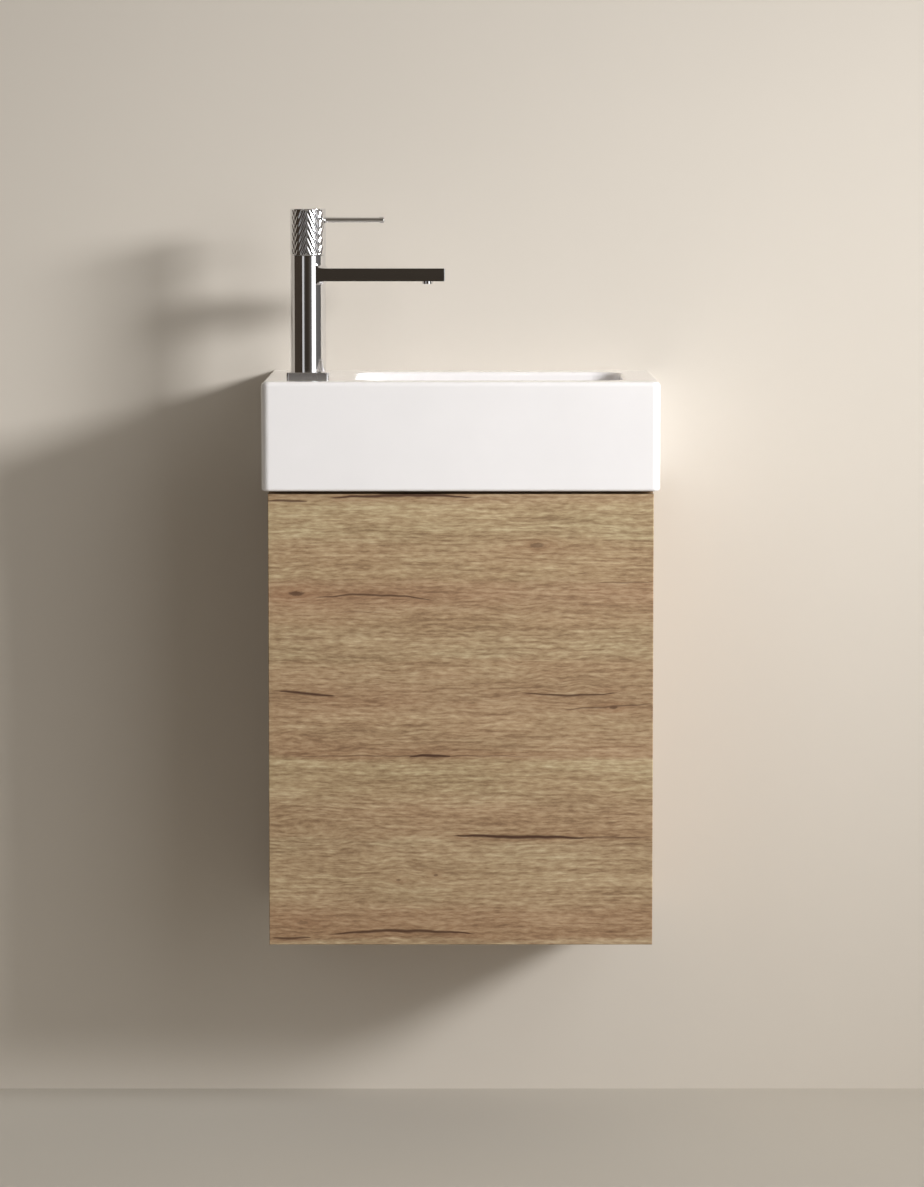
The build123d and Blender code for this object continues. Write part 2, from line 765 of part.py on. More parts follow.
with BuildPart() as shelf:
    block(
        (-side_inner + shelf_side_gap, side_inner - shelf_side_gap),
        (carcass_front + shelf_front_inset, -shelf_back_inset),
        (shelf_bottom, shelf_height),
    )

with BuildPart() as latch_housing:
    block(
        (latch_x - latch_half_width, latch_x + latch_half_width),
        (latch_front, latch_front + latch_length),
        (latch_top - latch_height, latch_top),
    )
    fillet(latch_housing.edges().filter_by(Axis.Y), radius=latch_edge)
    plunger_room = plunger_length + air_gap - (latch_front - plunger_tip)
    rod(plunger_radius + running_fit, (latch_x, latch_front, latch_z), TO_WALL, plunger_room, mode=Mode.SUBTRACT)
    for way in (-1, 1):
        hole_base = (latch_x + way * latch_screw_offset, latch_screw_y, latch_top)
        rod(latch_screw_radius + fit, hole_base, DOWN, latch_height, mode=Mode.SUBTRACT)

with BuildPart() as latch_plunger:
    rod(plunger_radius, (latch_x, plunger_tip, latch_z), TO_WALL, plunger_length)
    fillet(latch_plunger.faces().sort_by(Axis.Y)[0].edges(), radius=plunger_edge)

with BuildPart() as latch_screws:
    for way in (-1, 1):
        seat = (latch_x + way * latch_screw_offset, latch_screw_y, latch_top - latch_height)
        rod(latch_screw_radius + latch_head_rim, seat, DOWN, screw_head_height)
        rod(latch_screw_radius, seat, UP, latch_height + latch_screw_bite)

with BuildPart() as strike_plate:
    rod(strike_radius, (latch_x, door_back, latch_z), TO_WALL, strike_thickness)

# Door: one flat front, chamfered at the back of its hinge edge so that it clears the side panel
bumper_radius = 4
bumper_inset = 8
bumper_from_end = 20

with BuildPart() as door_panel:
    block((-side_outer, side_outer), (door_front, door_back), (door_bottom, door_top))
    upright = door_panel.edges().filter_by(Axis.Z)
    chamfer(upright.group_by(Axis.Y)[-1].sort_by(Axis.X)[0], length=door_relief)
    fillet(door_panel.faces().sort_by(Axis.Y)[0].edges(), radius=door_edge_round)
    for height in hinge_heights:
        rod(cup_radius + fit, (cup_x, door_back, height), TO_FRONT, cup_depth + fit, mode=Mode.SUBTRACT)
        for way in (-1, 1):
            hole_base = (cup_x + cup_screw_offset, door_back, height + way * cup_screw_spread)
            rod(screw_radius + fit, hole_base, TO_FRONT, screw_bite, mode=Mode.SUBTRACT)

with BuildPart() as door_bumpers:
    for bumper_z in (door_top - bumper_from_end, door_bottom + bumper_from_end):
        bumper_base = (side_outer - bumper_inset, door_back, bumper_z)
        rod(bumper_radius, bumper_base, TO_WALL, door_gap - air_gap)

# Tap: base plate, body with a flat spout, turning handle with a side lever
base_plate_side = 44
base_plate_corner = 3
base_plate_thickness = 4.5
base_plate_edge = 0.6
gasket_radius = 20
gasket_thickness = 1.2
shank_radius = 16
shank_bore = 12.5
shank_below = 48
shank_above = 8
body_radius = 18
body_height = 123.5
web_height = 12
inlet_radius = 4.6
inlet_offset = 6.2
mix_bore = 13
cartridge_radius = 14.9
cartridge_depth = 39.5
cartridge_height = 31
cartridge_nut_height = 6
cartridge_floor = 10
cartridge_nut_bore = 7
spout_drop = 12.8
spout_thickness = 13.1
spout_reach = 140.5
spout_half_width = 16
spout_root = 4.5
spout_edge = 1
waterway_half_width = 9
waterway_half_height = 3.3
aerator_reach = 122.4
aerator_radius = 5.5
aerator_bore = 4.3
aerator_drop = 3
aerator_sink = 5
insert_thickness = 2
insert_hole = 0.45
insert_rise = 0.6
insert_hole_count = 8
insert_ring = 2.4
handle_radius = 18.2
handle_height = 47.7
handle_edge = 0.8
handle_recess = 15
handle_recess_depth = 8
stem_radius = 4
stem_in_handle = 30
lever_drop = 11.5
lever_radius = 2.9
lever_tip_radius = 2.6
lever_reach = 78
lever_peg = 8
lever_collar = 4.5
lever_collar_radius = 3.2
lever_tip_edge = 1
grub_radius = 1.95
grub_drop = 24.5
grub_sink = 2
washer_thickness = 3
washer_radius = 25
tap_nut_height = 8
tap_nut_across = 46

body_bottom = basin_top + base_plate_thickness
body_top = basin_top + body_height
web_bottom = body_bottom + shank_above
seat_z = body_top - cartridge_depth
cartridge_top = seat_z + cartridge_height
handle_bottom = body_top + air_gap
handle_top = handle_bottom + handle_height
spout_high = body_top - spout_drop
spout_low = spout_high - spout_thickness
spout_middle = spout_low + spout_thickness / 2
lever_z = handle_top - lever_drop
grub_z = handle_top - grub_drop

with BuildPart() as tap_base_plate:
    with BuildSketch(Plane.XY.offset(basin_top)):
        with Locations((tap_x, tap_y)):
            RectangleRounded(base_plate_side, base_plate_side, base_plate_corner)
    extrude(amount=base_plate_thickness)
    fillet(tap_base_plate.faces().sort_by(Axis.Z)[-1].edges(), radius=base_plate_edge)
    rod(gasket_radius + fit, (tap_x, tap_y, basin_top), UP, gasket_thickness, mode=Mode.SUBTRACT)
    rod(shank_radius + fit, (tap_x, tap_y, basin_top), UP, base_plate_thickness, mode=Mode.SUBTRACT)

with BuildPart() as tap_gasket:
    ring(gasket_radius, shank_radius + fit, (tap_x, tap_y, basin_top), UP, gasket_thickness)

with BuildPart() as tap_shank:
    shank_bottom = (tap_x, tap_y, basin_top - shank_below)
    shank_length = shank_below + base_plate_thickness + shank_above
    ring(shank_radius, shank_bore, shank_bottom, UP, shank_length)

with BuildPart() as tap_washer:
    washer_base = (tap_x, tap_y, basin_top - deck_thickness)
    ring(washer_radius, shank_radius + fit, washer_base, DOWN, washer_thickness)

with BuildPart() as tap_nut:
    with BuildSketch(Plane.XY.offset(basin_top - deck_thickness - washer_thickness)):
        with Locations((tap_x, tap_y)):
            RegularPolygon(radius=tap_nut_across / 2, side_count=6, major_radius=False)
            Circle(shank_radius + fit, mode=Mode.SUBTRACT)
    extrude(amount=-tap_nut_height)

with BuildPart() as tap_body:
    rod(body_radius, (tap_x, tap_y, body_bottom), UP, body_top - body_bottom)
    with BuildSketch(Plane.XY.offset(spout_low)):
        with Locations((tap_x, tap_y)):
            Rectangle(spout_reach, 2 * spout_half_width, align=(Align.MIN, Align.CENTER))
    extrude(amount=spout_thickness)
    arcs = tap_body.edges().filter_by(GeomType.CIRCLE)
    root = arcs.filter_by_position(Axis.Z, spout_low - fit, spout_high + fit)
    root_edges = root.filter_by(lambda edge: edge.center().X > tap_x)
    fillet(root_edges, radius=spout_root)
    tip = tap_body.faces().sort_by(Axis.X)[-1].edges()
    fillet(tip, radius=spout_edge)
    rod(shank_radius + fit, (tap_x, tap_y, body_bottom), UP, shank_above, mode=Mode.SUBTRACT)
    mix_bottom = web_bottom + web_height
    rod(mix_bore, (tap_x, tap_y, mix_bottom), UP, seat_z - mix_bottom, mode=Mode.SUBTRACT)
    rod(cartridge_radius + fit, (tap_x, tap_y, seat_z), UP, body_top - seat_z, mode=Mode.SUBTRACT)
    for way in (-1, 1):
        inlet_base = (tap_x + way * inlet_offset, tap_y, web_bottom)
        rod(inlet_radius, inlet_base, UP, web_height, mode=Mode.SUBTRACT)
    block(
        (tap_x, tap_x + aerator_reach),
        (tap_y - waterway_half_width, tap_y + waterway_half_width),
        (spout_middle - waterway_half_height, spout_middle + waterway_half_height),
        mode=Mode.SUBTRACT,
    )
    aerator_x = tap_x + aerator_reach
    rod(aerator_radius + fit, (aerator_x, tap_y, spout_low), UP, spout_thickness / 2, mode=Mode.SUBTRACT)

with BuildPart() as aerator_housing:
    housing_base = (aerator_x, tap_y, spout_low - aerator_drop)
    ring(aerator_radius, aerator_bore, housing_base, UP, aerator_drop + aerator_sink)

with BuildPart() as aerator_insert:
    insert_base = (aerator_x, tap_y, spout_low - aerator_drop + insert_rise)
    rod(aerator_bore - fit, insert_base, UP, insert_thickness)
    with Locations(insert_base):
        with PolarLocations(insert_ring, insert_hole_count):
            Cylinder(insert_hole, 3 * insert_thickness, mode=Mode.SUBTRACT)

with BuildPart() as tap_cartridge:
    rod(cartridge_radius, (tap_x, tap_y, seat_z), UP, cartridge_height)
    stem_room = cartridge_height - cartridge_floor
    rod(stem_radius + running_fit, (tap_x, tap_y, cartridge_top), DOWN, stem_room, mode=Mode.SUBTRACT)

with BuildPart() as cartridge_nut:
    ring(cartridge_radius, cartridge_nut_bore, (tap_x, tap_y, cartridge_top), UP, cartridge_nut_height)

with BuildPart() as tap_stem:
    stem_bottom = cartridge_top - stem_room + air_gap
    rod(stem_radius, (tap_x, tap_y, stem_bottom), UP, handle_bottom + stem_in_handle - stem_bottom)

with BuildPart() as tap_handle:
    rod(handle_radius, (tap_x, tap_y, handle_bottom), UP, handle_height)
    fillet(tap_handle.edges(), radius=handle_edge)
    rod(handle_recess, (tap_x, tap_y, handle_bottom), UP, handle_recess_depth, mode=Mode.SUBTRACT)
    rod(stem_radius + fit, (tap_x, tap_y, handle_bottom), UP, stem_in_handle + fit, mode=Mode.SUBTRACT)
    peg_base = (tap_x + handle_radius - lever_peg, tap_y, lever_z)
    rod(lever_radius + fit, peg_base, TO_RIGHT, lever_peg, mode=Mode.SUBTRACT)
    grub_length = handle_radius - grub_sink - stem_radius - fit
    rod(grub_radius + fit, (tap_x, tap_y + stem_radius, grub_z), TO_WALL, handle_radius, mode=Mode.SUBTRACT)

with BuildPart() as handle_screw:
    rod(grub_radius, (tap_x, tap_y + stem_radius + fit, grub_z), TO_WALL, grub_length)

with BuildPart() as tap_lever:
    rod(lever_radius, peg_base, TO_RIGHT, lever_peg)
    collar_start = tap_x + lever_reach - lever_collar
    taper_start = tap_x + handle_radius
    with Locations(Plane(origin=(taper_start, tap_y, lever_z), z_dir=TO_RIGHT)):
        Cone(
            bottom_radius=lever_radius,
            top_radius=lever_tip_radius,
            height=collar_start - taper_start,
            align=(Align.CENTER, Align.CENTER, Align.MIN),
        )
    rod(lever_collar_radius, (collar_start, tap_y, lever_z), TO_RIGHT, lever_collar)
    fillet(tap_lever.faces().sort_by(Axis.X)[-1].edges(), radius=lever_tip_edge)

pieces = {
    "basin": basin,
    "overflow_ring": overflow_ring,
    "waste_body": waste_body,
    "waste_seals": waste_seals,
    "waste_nut": waste_nut,
    "waste_plug": waste_plug,
    "plug_spindle": plug_spindle,
    "trap_inlet_tube": trap_inlet_tube,
    "trap_body": trap_body,
    "trap_cup": trap_cup,
    "trap_outlet_pipe": trap_outlet_pipe,
    "trap_nuts": trap_nuts,
    "trap_seals": trap_seals,
    "wall_rosette": wall_rosette,
    "side_panel_left": side_panel_left,
    "side_panel_right": side_panel_right,
    "bottom_panel": bottom_panel,
    "top_rail_front": top_rail_front,
    "top_rail_back": top_rail_back,
    "back_rail_bottom": back_rail_bottom,
    "shelf": shelf,
    "shelf_pins": shelf_pins,
    "carcass_dowels": carcass_dowels,
    "cam_bolts": cam_bolts,
    "cam_locks": cam_locks,
    "hanger_left": hanger_left,
    "hanger_right": hanger_right,
    "hanger_hooks": hanger_hooks,
    "hanger_screws": hanger_screws,
    "wall_plate_left": wall_plate_left,
    "wall_plate_right": wall_plate_right,
    "hinge_plate_upper": hinge_plate_upper,
    "hinge_plate_lower": hinge_plate_lower,
    "hinge_arm_upper": hinge_arm_upper,
    "hinge_arm_lower": hinge_arm_lower,
    "hinge_cup_upper": hinge_cup_upper,
    "hinge_cup_lower": hinge_cup_lower,
    "hinge_pins": hinge_pins,
    "hinge_screws": hinge_screws,
    "hinge_cup_screws": hinge_cup_screws,
    "door_panel": door_panel,
    "door_bumpers": door_bumpers,
    "strike_plate": strike_plate,
    "latch_housing": latch_housing,
    "latch_plunger": latch_plunger,
    "latch_screws": latch_screws,
    "tap_base_plate": tap_base_plate,
    "tap_gasket": tap_gasket,
    "tap_shank": tap_shank,
    "tap_washer": tap_washer,
    "tap_nut": tap_nut,
    "tap_body": tap_body,
    "aerator_housing": aerator_housing,
    "aerator_insert": aerator_insert,
    "tap_cartridge": tap_cartridge,
    "cartridge_nut": cartridge_nut,
    "tap_stem": tap_stem,
    "tap_handle": tap_handle,
    "handle_screw": handle_screw,
    "tap_lever": tap_lever,
}

for name, piece in pieces.items():
    piece.part.label = name
    export_step(piece.part, f"parts/{name}.step")

print("pieces:", len(pieces))
print("door opens by 95 degrees about X", pivot_x, "Y", pivot_y, "| latch stroke", plunger_stroke)
print("tap axis", tap_x, tap_y, "| waste axis", waste_x, waste_y, "outlet z", outlet_z)
print("inlet sockets at z", web_bottom, "length", web_height)
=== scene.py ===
"""Looks of a wall-hung vanity unit: a ceramic basin with a side tap over an oak-fronted cabinet."""

import logging
import math
from dataclasses import dataclass
from enum import Enum
from typing import Any, Iterable, Sequence

import bmesh
import bpy
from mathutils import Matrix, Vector


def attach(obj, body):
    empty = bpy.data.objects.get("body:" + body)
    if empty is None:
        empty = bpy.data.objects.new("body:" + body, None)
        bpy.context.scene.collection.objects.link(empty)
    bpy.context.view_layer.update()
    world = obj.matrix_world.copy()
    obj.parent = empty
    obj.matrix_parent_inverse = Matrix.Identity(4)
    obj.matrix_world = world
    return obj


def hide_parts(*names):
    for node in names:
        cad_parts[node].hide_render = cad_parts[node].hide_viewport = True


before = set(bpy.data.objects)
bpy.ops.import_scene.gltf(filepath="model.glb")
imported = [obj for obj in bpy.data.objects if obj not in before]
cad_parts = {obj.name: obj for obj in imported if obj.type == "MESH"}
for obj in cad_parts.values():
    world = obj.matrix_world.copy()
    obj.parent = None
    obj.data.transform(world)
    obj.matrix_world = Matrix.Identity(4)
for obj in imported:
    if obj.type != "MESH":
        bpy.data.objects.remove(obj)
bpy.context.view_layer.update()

LOG = logging.getLogger("vanity")
SHARP_ANGLE = 32


class Turn(Enum):
    """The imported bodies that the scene's own pieces ride."""

    CABINET = "cabinet"
    DOOR = "door"
    TAP = "tap_control"


def srgb(red: int, green: int, blue: int) -> tuple[float, float, float, float]:
    """Turns a screen colour into linear light.

    Args:
        red: red from 0 to 255.
        green: green from 0 to 255.
        blue: blue from 0 to 255.

    Returns:
        The linear colour with a full alpha.
    """
    def linear(value: int) -> float:
        share = value / 255
        return share / 12.92 if share <= 0.04045 else ((share + 0.055) / 1.055) ** 2.4

    return linear(red), linear(green), linear(blue), 1.0


class Graph:
    """Adds and wires the nodes of one node tree."""

    def __init__(self, tree: bpy.types.NodeTree) -> None:
        """Empties the tree.

        Args:
            tree: the tree to fill.
        """
        self.tree = tree
        tree.nodes.clear()

    def add(self, kind: str, **settings: Any) -> bpy.types.Node:
        """Adds one node.

        Args:
            kind: the node's type name.
            settings: its properties.

        Returns:
            The new node.
        """
        node = self.tree.nodes.new(kind)
        for name, value in settings.items():
            setattr(node, name, value)
        return node

    def feed(self, socket: bpy.types.NodeSocket, value: Any) -> None:
        """Links a socket into another, or sets its constant.

        Args:
            socket: the input to fill.
            value: another node's output, or a number, vector or colour.
        """
        if isinstance(value, bpy.types.NodeSocket):
            self.tree.links.new(value, socket)
        else:
            socket.default_value = value

    def math(self, operation: str, first: Any, second: Any = 0.0, clamp: bool = False) -> Any:
        """Returns the output of a Math node on two values.

        Args:
            operation: the node's operation.
            first: its first value.
            second: its second value.
            clamp: whether the result is held from 0 to 1.

        Returns:
            The output socket.
        """
        node = self.add("ShaderNodeMath", operation=operation, use_clamp=clamp)
        self.feed(node.inputs[0], first)
        if len(node.inputs) > 1:
            self.feed(node.inputs[1], second)
        return node.outputs[0]

    def spread(self, value: Any, low: float, high: float, to_low: float = 0.0, to_high: float = 1.0) -> Any:
        """Returns a value stretched from one range to another and held inside it.

        Args:
            value: the value.
            low: where the first range starts.
            high: where the first range ends.
            to_low: where the second range starts.
            to_high: where the second range ends.

        Returns:
            The output socket.
        """
        node = self.add("ShaderNodeMapRange", clamp=True)
        for socket, number in zip(node.inputs, (value, low, high, to_low, to_high)):
            self.feed(socket, number)
        return node.outputs[0]

    def scaled(self, vector: Any, scale: Sequence[float], shift: Sequence[float] = (0, 0, 0)) -> Any:
        """Returns a vector scaled and then moved along each axis.

        Args:
            vector: the vector.
            scale: the scale of each axis.
            shift: the move along each axis.

        Returns:
            The output socket.
        """
        node = self.add("ShaderNodeMapping", vector_type="POINT")
        self.feed(node.inputs["Vector"], vector)
        self.feed(node.inputs["Scale"], tuple(scale))
        self.feed(node.inputs["Location"], tuple(shift))
        return node.outputs[0]

    def noise(
        self, vector: Any, scale: Any, detail: float = 2.0, rough: float = 0.5, twist: float = 0.0
    ) -> Any:
        """Returns the grey output of a Noise node.

        Args:
            vector: where it is read.
            scale: cells in a metre.
            detail: how many finer layers it has.
            rough: how strong they are.
            twist: how much it is distorted.

        Returns:
            The output socket.
        """
        node = self.add("ShaderNodeTexNoise", noise_dimensions="3D")
        self.feed(node.inputs["Vector"], vector)
        self.feed(node.inputs["Scale"], scale)
        self.feed(node.inputs["Detail"], detail)
        self.feed(node.inputs["Roughness"], rough)
        self.feed(node.inputs["Distortion"], twist)
        return node.outputs[0]

    def ramp(self, factor: Any, stops: Iterable[tuple[float, Sequence[float]]], smooth: bool = False) -> Any:
        """Returns a colour read from stops along a factor.

        Args:
            factor: the place on the ramp.
            stops: each stop's place and colour, in order.
            smooth: whether the steps between stops are eased.

        Returns:
            The colour's socket.
        """
        node = self.add("ShaderNodeValToRGB")
        node.color_ramp.interpolation = "EASE" if smooth else "LINEAR"
        elements = node.color_ramp.elements
        stops = list(stops)
        elements[0].position, elements[0].color = stops[0]
        elements[1].position, elements[1].color = stops[-1]
        for place, colour in stops[1:-1]:
            element = elements.new(place)
            element.color = colour
        self.feed(node.inputs[0], factor)
        return node.outputs[0]

    def blend(self, factor: Any, first: Any, second: Any, kind: str = "MIX") -> Any:
        """Returns two colours mixed by a factor.

        Args:
            factor: share of the second colour.
            first: the first colour.
            second: the second colour.
            kind: the way of mixing.

        Returns:
            The colour's socket.
        """
        node = self.add("ShaderNodeMix", data_type="RGBA", blend_type=kind, clamp_factor=True)
        self.feed(node.inputs[0], factor)
        self.feed(node.inputs[6], first)
        self.feed(node.inputs[7], second)
        return node.outputs[2]

    def group(self, tree: bpy.types.NodeTree, **values: Any) -> bpy.types.Node:
        """Returns a placed node group with its inputs filled by name.

        Args:
            tree: the group.
            values: its inputs by name, with a low line for each space.

        Returns:
            The group's node.
        """
        node = self.add("ShaderNodeGroup", node_tree=tree)
        for name, value in values.items():
            self.feed(node.inputs[name.replace("_", " ")], value)
        return node


def new_group(name: str, inputs: dict[str, tuple[str, Any]], outputs: dict[str, str]) -> tuple[Any, Graph]:
    """Starts a shader node group with named sockets.

    Args:
        name: the group's name.
        inputs: each input's socket type and default.
        outputs: each output's socket type.

    Returns:
        The tree and the graph that fills it.
    """
    tree = bpy.data.node_groups.new(name, "ShaderNodeTree")
    for label, (kind, default) in inputs.items():
        socket = tree.interface.new_socket(name=label, in_out="INPUT", socket_type=kind)
        if default is not None:
            socket.default_value = default
    for label, kind in outputs.items():
        tree.interface.new_socket(name=label, in_out="OUTPUT", socket_type=kind)
    return tree, Graph(tree)


FLOAT = "NodeSocketFloat"
VECTOR = "NodeSocketVector"


class Effects:
    """Node groups that more than one finish uses."""

    def __init__(self) -> None:
        """Builds every group once."""
        self.fine_surface = self._fine_surface()
        self.wood_figure = self._wood_figure()
        self.split_mark = self._split_mark()
        self.knot_mark = self._knot_mark()

    @staticmethod
    def _fine_surface() -> bpy.types.NodeTree:
        """Returns a group with soft unevenness of gloss and height for smooth finishes."""
        tree, graph = new_group(
            "fine_surface",
            {"Vector": (VECTOR, None), "Grain": (FLOAT, 40.0), "Low": (FLOAT, 0.1), "High": (FLOAT, 0.2)},
            {"Roughness": FLOAT, "Height": FLOAT, "Cloud": FLOAT},
        )
        source = graph.add("NodeGroupInput")
        sink = graph.add("NodeGroupOutput")
        cloud = graph.noise(source.outputs["Vector"], source.outputs["Grain"], 3.0, 0.55)
        fine_scale = graph.math("MULTIPLY", source.outputs["Grain"], 9.0)
        fine = graph.noise(source.outputs["Vector"], fine_scale, 2.0, 0.5)
        share = graph.spread(cloud, 0.3, 0.7)
        span = graph.math("SUBTRACT", source.outputs["High"], source.outputs["Low"])
        rise = graph.math("MULTIPLY", share, span)
        graph.feed(sink.inputs["Roughness"], graph.math("ADD", rise, source.outputs["Low"]))
        mixed = graph.math("MULTIPLY_ADD", fine, 0.25)
        graph.feed(mixed.node.inputs[2], cloud)
        graph.feed(sink.inputs["Height"], mixed)
        graph.feed(sink.inputs["Cloud"], share)
        return tree

    @staticmethod
    def _wood_figure() -> bpy.types.NodeTree:
        """Returns a group with the tones, flecks, lines and pores of wood whose grain runs along X."""
        tree, graph = new_group(
            "wood_figure",
            {"Vector": (VECTOR, None), "Sway": (FLOAT, 0.004), "Lift": (FLOAT, 0.0)},
            {"Tone": FLOAT, "Flecks": FLOAT, "Lines": FLOAT, "Pores": FLOAT, "Height": FLOAT},
        )
        source = graph.add("NodeGroupInput")
        sink = graph.add("NodeGroupOutput")
        where = source.outputs["Vector"]

        def swing(scale: Sequence[float], shift: Sequence[float], share: float) -> Any:
            """Returns a soft noise about zero, scaled by the sway.

            Args:
                scale: the noise's scale on each axis.
                shift: its move along each axis.
                share: how strong it is.

            Returns:
                The output socket.
            """
            raw = graph.noise(graph.scaled(where, scale, shift), 1.0, 1.5, 0.5)
            return graph.math("MULTIPLY", graph.math("MULTIPLY", graph.math("SUBTRACT", raw, 0.5), share),
                              source.outputs["Sway"])

        curl = graph.spread(graph.noise(graph.scaled(where, (8, 17, 17), (4, 4, 4)), 1.0, 1.0), 0.52, 0.68)
        bend = graph.math("ADD", swing((5, 12, 12), (0, 0, 0), 2.0), swing((30, 70, 70), (2, 1, 0), 0.5))
        bend = graph.math("ADD", bend, graph.math("MULTIPLY", curl, swing((22, 34, 34), (9, 2, 5), 3.0)))
        bend = graph.math("ADD", bend, source.outputs["Lift"])
        parts = graph.add("ShaderNodeSeparateXYZ")
        graph.feed(parts.inputs[0], where)
        bent = graph.add("ShaderNodeCombineXYZ")
        graph.feed(bent.inputs[0], parts.outputs[0])
        graph.feed(bent.inputs[1], parts.outputs[1])
        graph.feed(bent.inputs[2], graph.math("ADD", parts.outputs[2], bend))
        grain = bent.outputs[0]
        pores = graph.noise(graph.scaled(grain, (75, 1100, 1100)), 1.0, 2.0, 0.5)
        lines = graph.noise(graph.scaled(grain, (15, 300, 300), (3, 7, 1)), 1.0, 4.0, 0.6)
        pore_mask = graph.spread(pores, 0.58, 0.72)
        graph.feed(sink.inputs["Tone"], graph.noise(graph.scaled(grain, (4, 45, 45)), 1.0, 3.0, 0.55))
        graph.feed(sink.inputs["Flecks"], graph.noise(graph.scaled(grain, (95, 400, 400)), 1.0, 3.0, 0.6))
        graph.feed(sink.inputs["Lines"], lines)
        graph.feed(sink.inputs["Pores"], pore_mask)
        sunk = graph.math("MULTIPLY", pore_mask, 0.6)
        graph.feed(sink.inputs["Height"], graph.math("SUBTRACT", lines, sunk))
        return tree

    @staticmethod
    def _split_mark() -> bpy.types.NodeTree:
        """Returns a group with a thin bowed crack that lies along X, and the warm shade round it."""
        tree, graph = new_group(
            "split_mark",
            {
                "Vector": (VECTOR, None),
                "Across": (FLOAT, 0.0),
                "Height": (FLOAT, 0.0),
                "Half Length": (FLOAT, 0.05),
                "Half Width": (FLOAT, 0.001),
                "Slope": (FLOAT, 0.0),
                "Bow": (FLOAT, 0.0),
            },
            {"Mask": FLOAT, "Halo": FLOAT},
        )
        source = graph.add("NodeGroupInput")
        sink = graph.add("NodeGroupOutput")
        parts = graph.add("ShaderNodeSeparateXYZ")
        graph.feed(parts.inputs[0], source.outputs["Vector"])
        wander = graph.noise(graph.scaled(source.outputs["Vector"], (30, 0, 6)), 1.0, 2.0, 0.5)
        along = graph.math("SUBTRACT", parts.outputs[0], source.outputs["Across"])
        share = graph.math("DIVIDE", along, source.outputs["Half Length"])
        taper = graph.math("SUBTRACT", 1.0, graph.math("MULTIPLY", share, share), clamp=True)
        off = graph.math("SUBTRACT", parts.outputs[2], source.outputs["Height"])
        off = graph.math("ADD", off, graph.math("MULTIPLY", graph.math("SUBTRACT", wander, 0.5), 0.0045))
        off = graph.math("SUBTRACT", off, graph.math("MULTIPLY", along, source.outputs["Slope"]))
        off = graph.math("SUBTRACT", off, graph.math("MULTIPLY", taper, source.outputs["Bow"]))
        ends = graph.math("MULTIPLY", taper, 5.0, clamp=True)
        fullness = graph.math("MULTIPLY", graph.math("ADD", taper, 0.35), 1.25)
        width = graph.math("MULTIPLY", source.outputs["Half Width"], fullness)
        away = graph.math("ABSOLUTE", off)
        near = graph.math("SUBTRACT", 1.5, graph.math("DIVIDE", away, width), clamp=True)
        graph.feed(sink.inputs["Mask"], graph.math("MULTIPLY", near, ends))
        soft = graph.math("EXPONENT", graph.math("MULTIPLY", away, -260.0))
        graph.feed(sink.inputs["Halo"], graph.math("MULTIPLY", soft, ends))
        return tree

    @staticmethod
    def _knot_mark() -> bpy.types.NodeTree:
        """Returns a group with a small knot, the warm shade round it and how far it pushes the grain."""
        tree, graph = new_group(
            "knot_mark",
            {
                "Vector": (VECTOR, None),
                "Across": (FLOAT, 0.0),
                "Height": (FLOAT, 0.0),
                "Half Length": (FLOAT, 0.02),
                "Half Height": (FLOAT, 0.01),
            },
            {"Core": FLOAT, "Halo": FLOAT, "Push": FLOAT},
        )
        source = graph.add("NodeGroupInput")
        sink = graph.add("NodeGroupOutput")
        parts = graph.add("ShaderNodeSeparateXYZ")
        graph.feed(parts.inputs[0], source.outputs["Vector"])
        along = graph.math("SUBTRACT", parts.outputs[0], source.outputs["Across"])
        off = graph.math("SUBTRACT", parts.outputs[2], source.outputs["Height"])
        first = graph.math("DIVIDE", along, source.outputs["Half Length"])
        second = graph.math("DIVIDE", off, source.outputs["Half Height"])
        square = graph.math("ADD", graph.math("MULTIPLY", first, first), graph.math("MULTIPLY", second, second))
        halo = graph.math("EXPONENT", graph.math("MULTIPLY", square, -1.0))
        rough = graph.noise(graph.scaled(source.outputs["Vector"], (260, 260, 420)), 1.0, 2.0, 0.6)
        reach = graph.math("ADD", graph.math("SQRT", square), graph.math("MULTIPLY", rough, 0.3))
        graph.feed(sink.inputs["Core"], graph.spread(reach, 0.34, 0.46, 1.0, 0.0))
        graph.feed(sink.inputs["Halo"], halo)
        graph.feed(sink.inputs["Push"], graph.math("MULTIPLY", graph.math("MULTIPLY", off, halo), -0.55))
        return tree


EFFECTS = Effects()


def start_material(name: str) -> tuple[bpy.types.Material, Graph, bpy.types.Node, Any]:
    """Starts a material with its Principled shader wired to the output.

    Args:
        name: the finish's name.

    Returns:
        The material, its graph, the shader and the Object coordinates.
    """
    material = bpy.data.materials.new(name)
    material.use_nodes = True
    graph = Graph(material.node_tree)
    output = graph.add("ShaderNodeOutputMaterial")
    shader = graph.add("ShaderNodeBsdfPrincipled")
    graph.feed(output.inputs["Surface"], shader.outputs[0])
    place = graph.add("ShaderNodeTexCoord")
    return material, graph, shader, place.outputs["Object"]


def add_bump(graph: Graph, shader: bpy.types.Node, height: Any, distance: float, strength: float = 1.0) -> None:
    """Feeds a height into the shader's normal.

    Args:
        graph: the material's graph.
        shader: the shader that is lit by it.
        height: the height output.
        distance: metres that a height of one stands for.
        strength: share of the bump.
    """
    bump = graph.add("ShaderNodeBump")
    graph.feed(bump.inputs["Strength"], strength)
    graph.feed(bump.inputs["Distance"], distance)
    graph.feed(bump.inputs["Height"], height)
    graph.feed(shader.inputs["Normal"], bump.outputs[0])


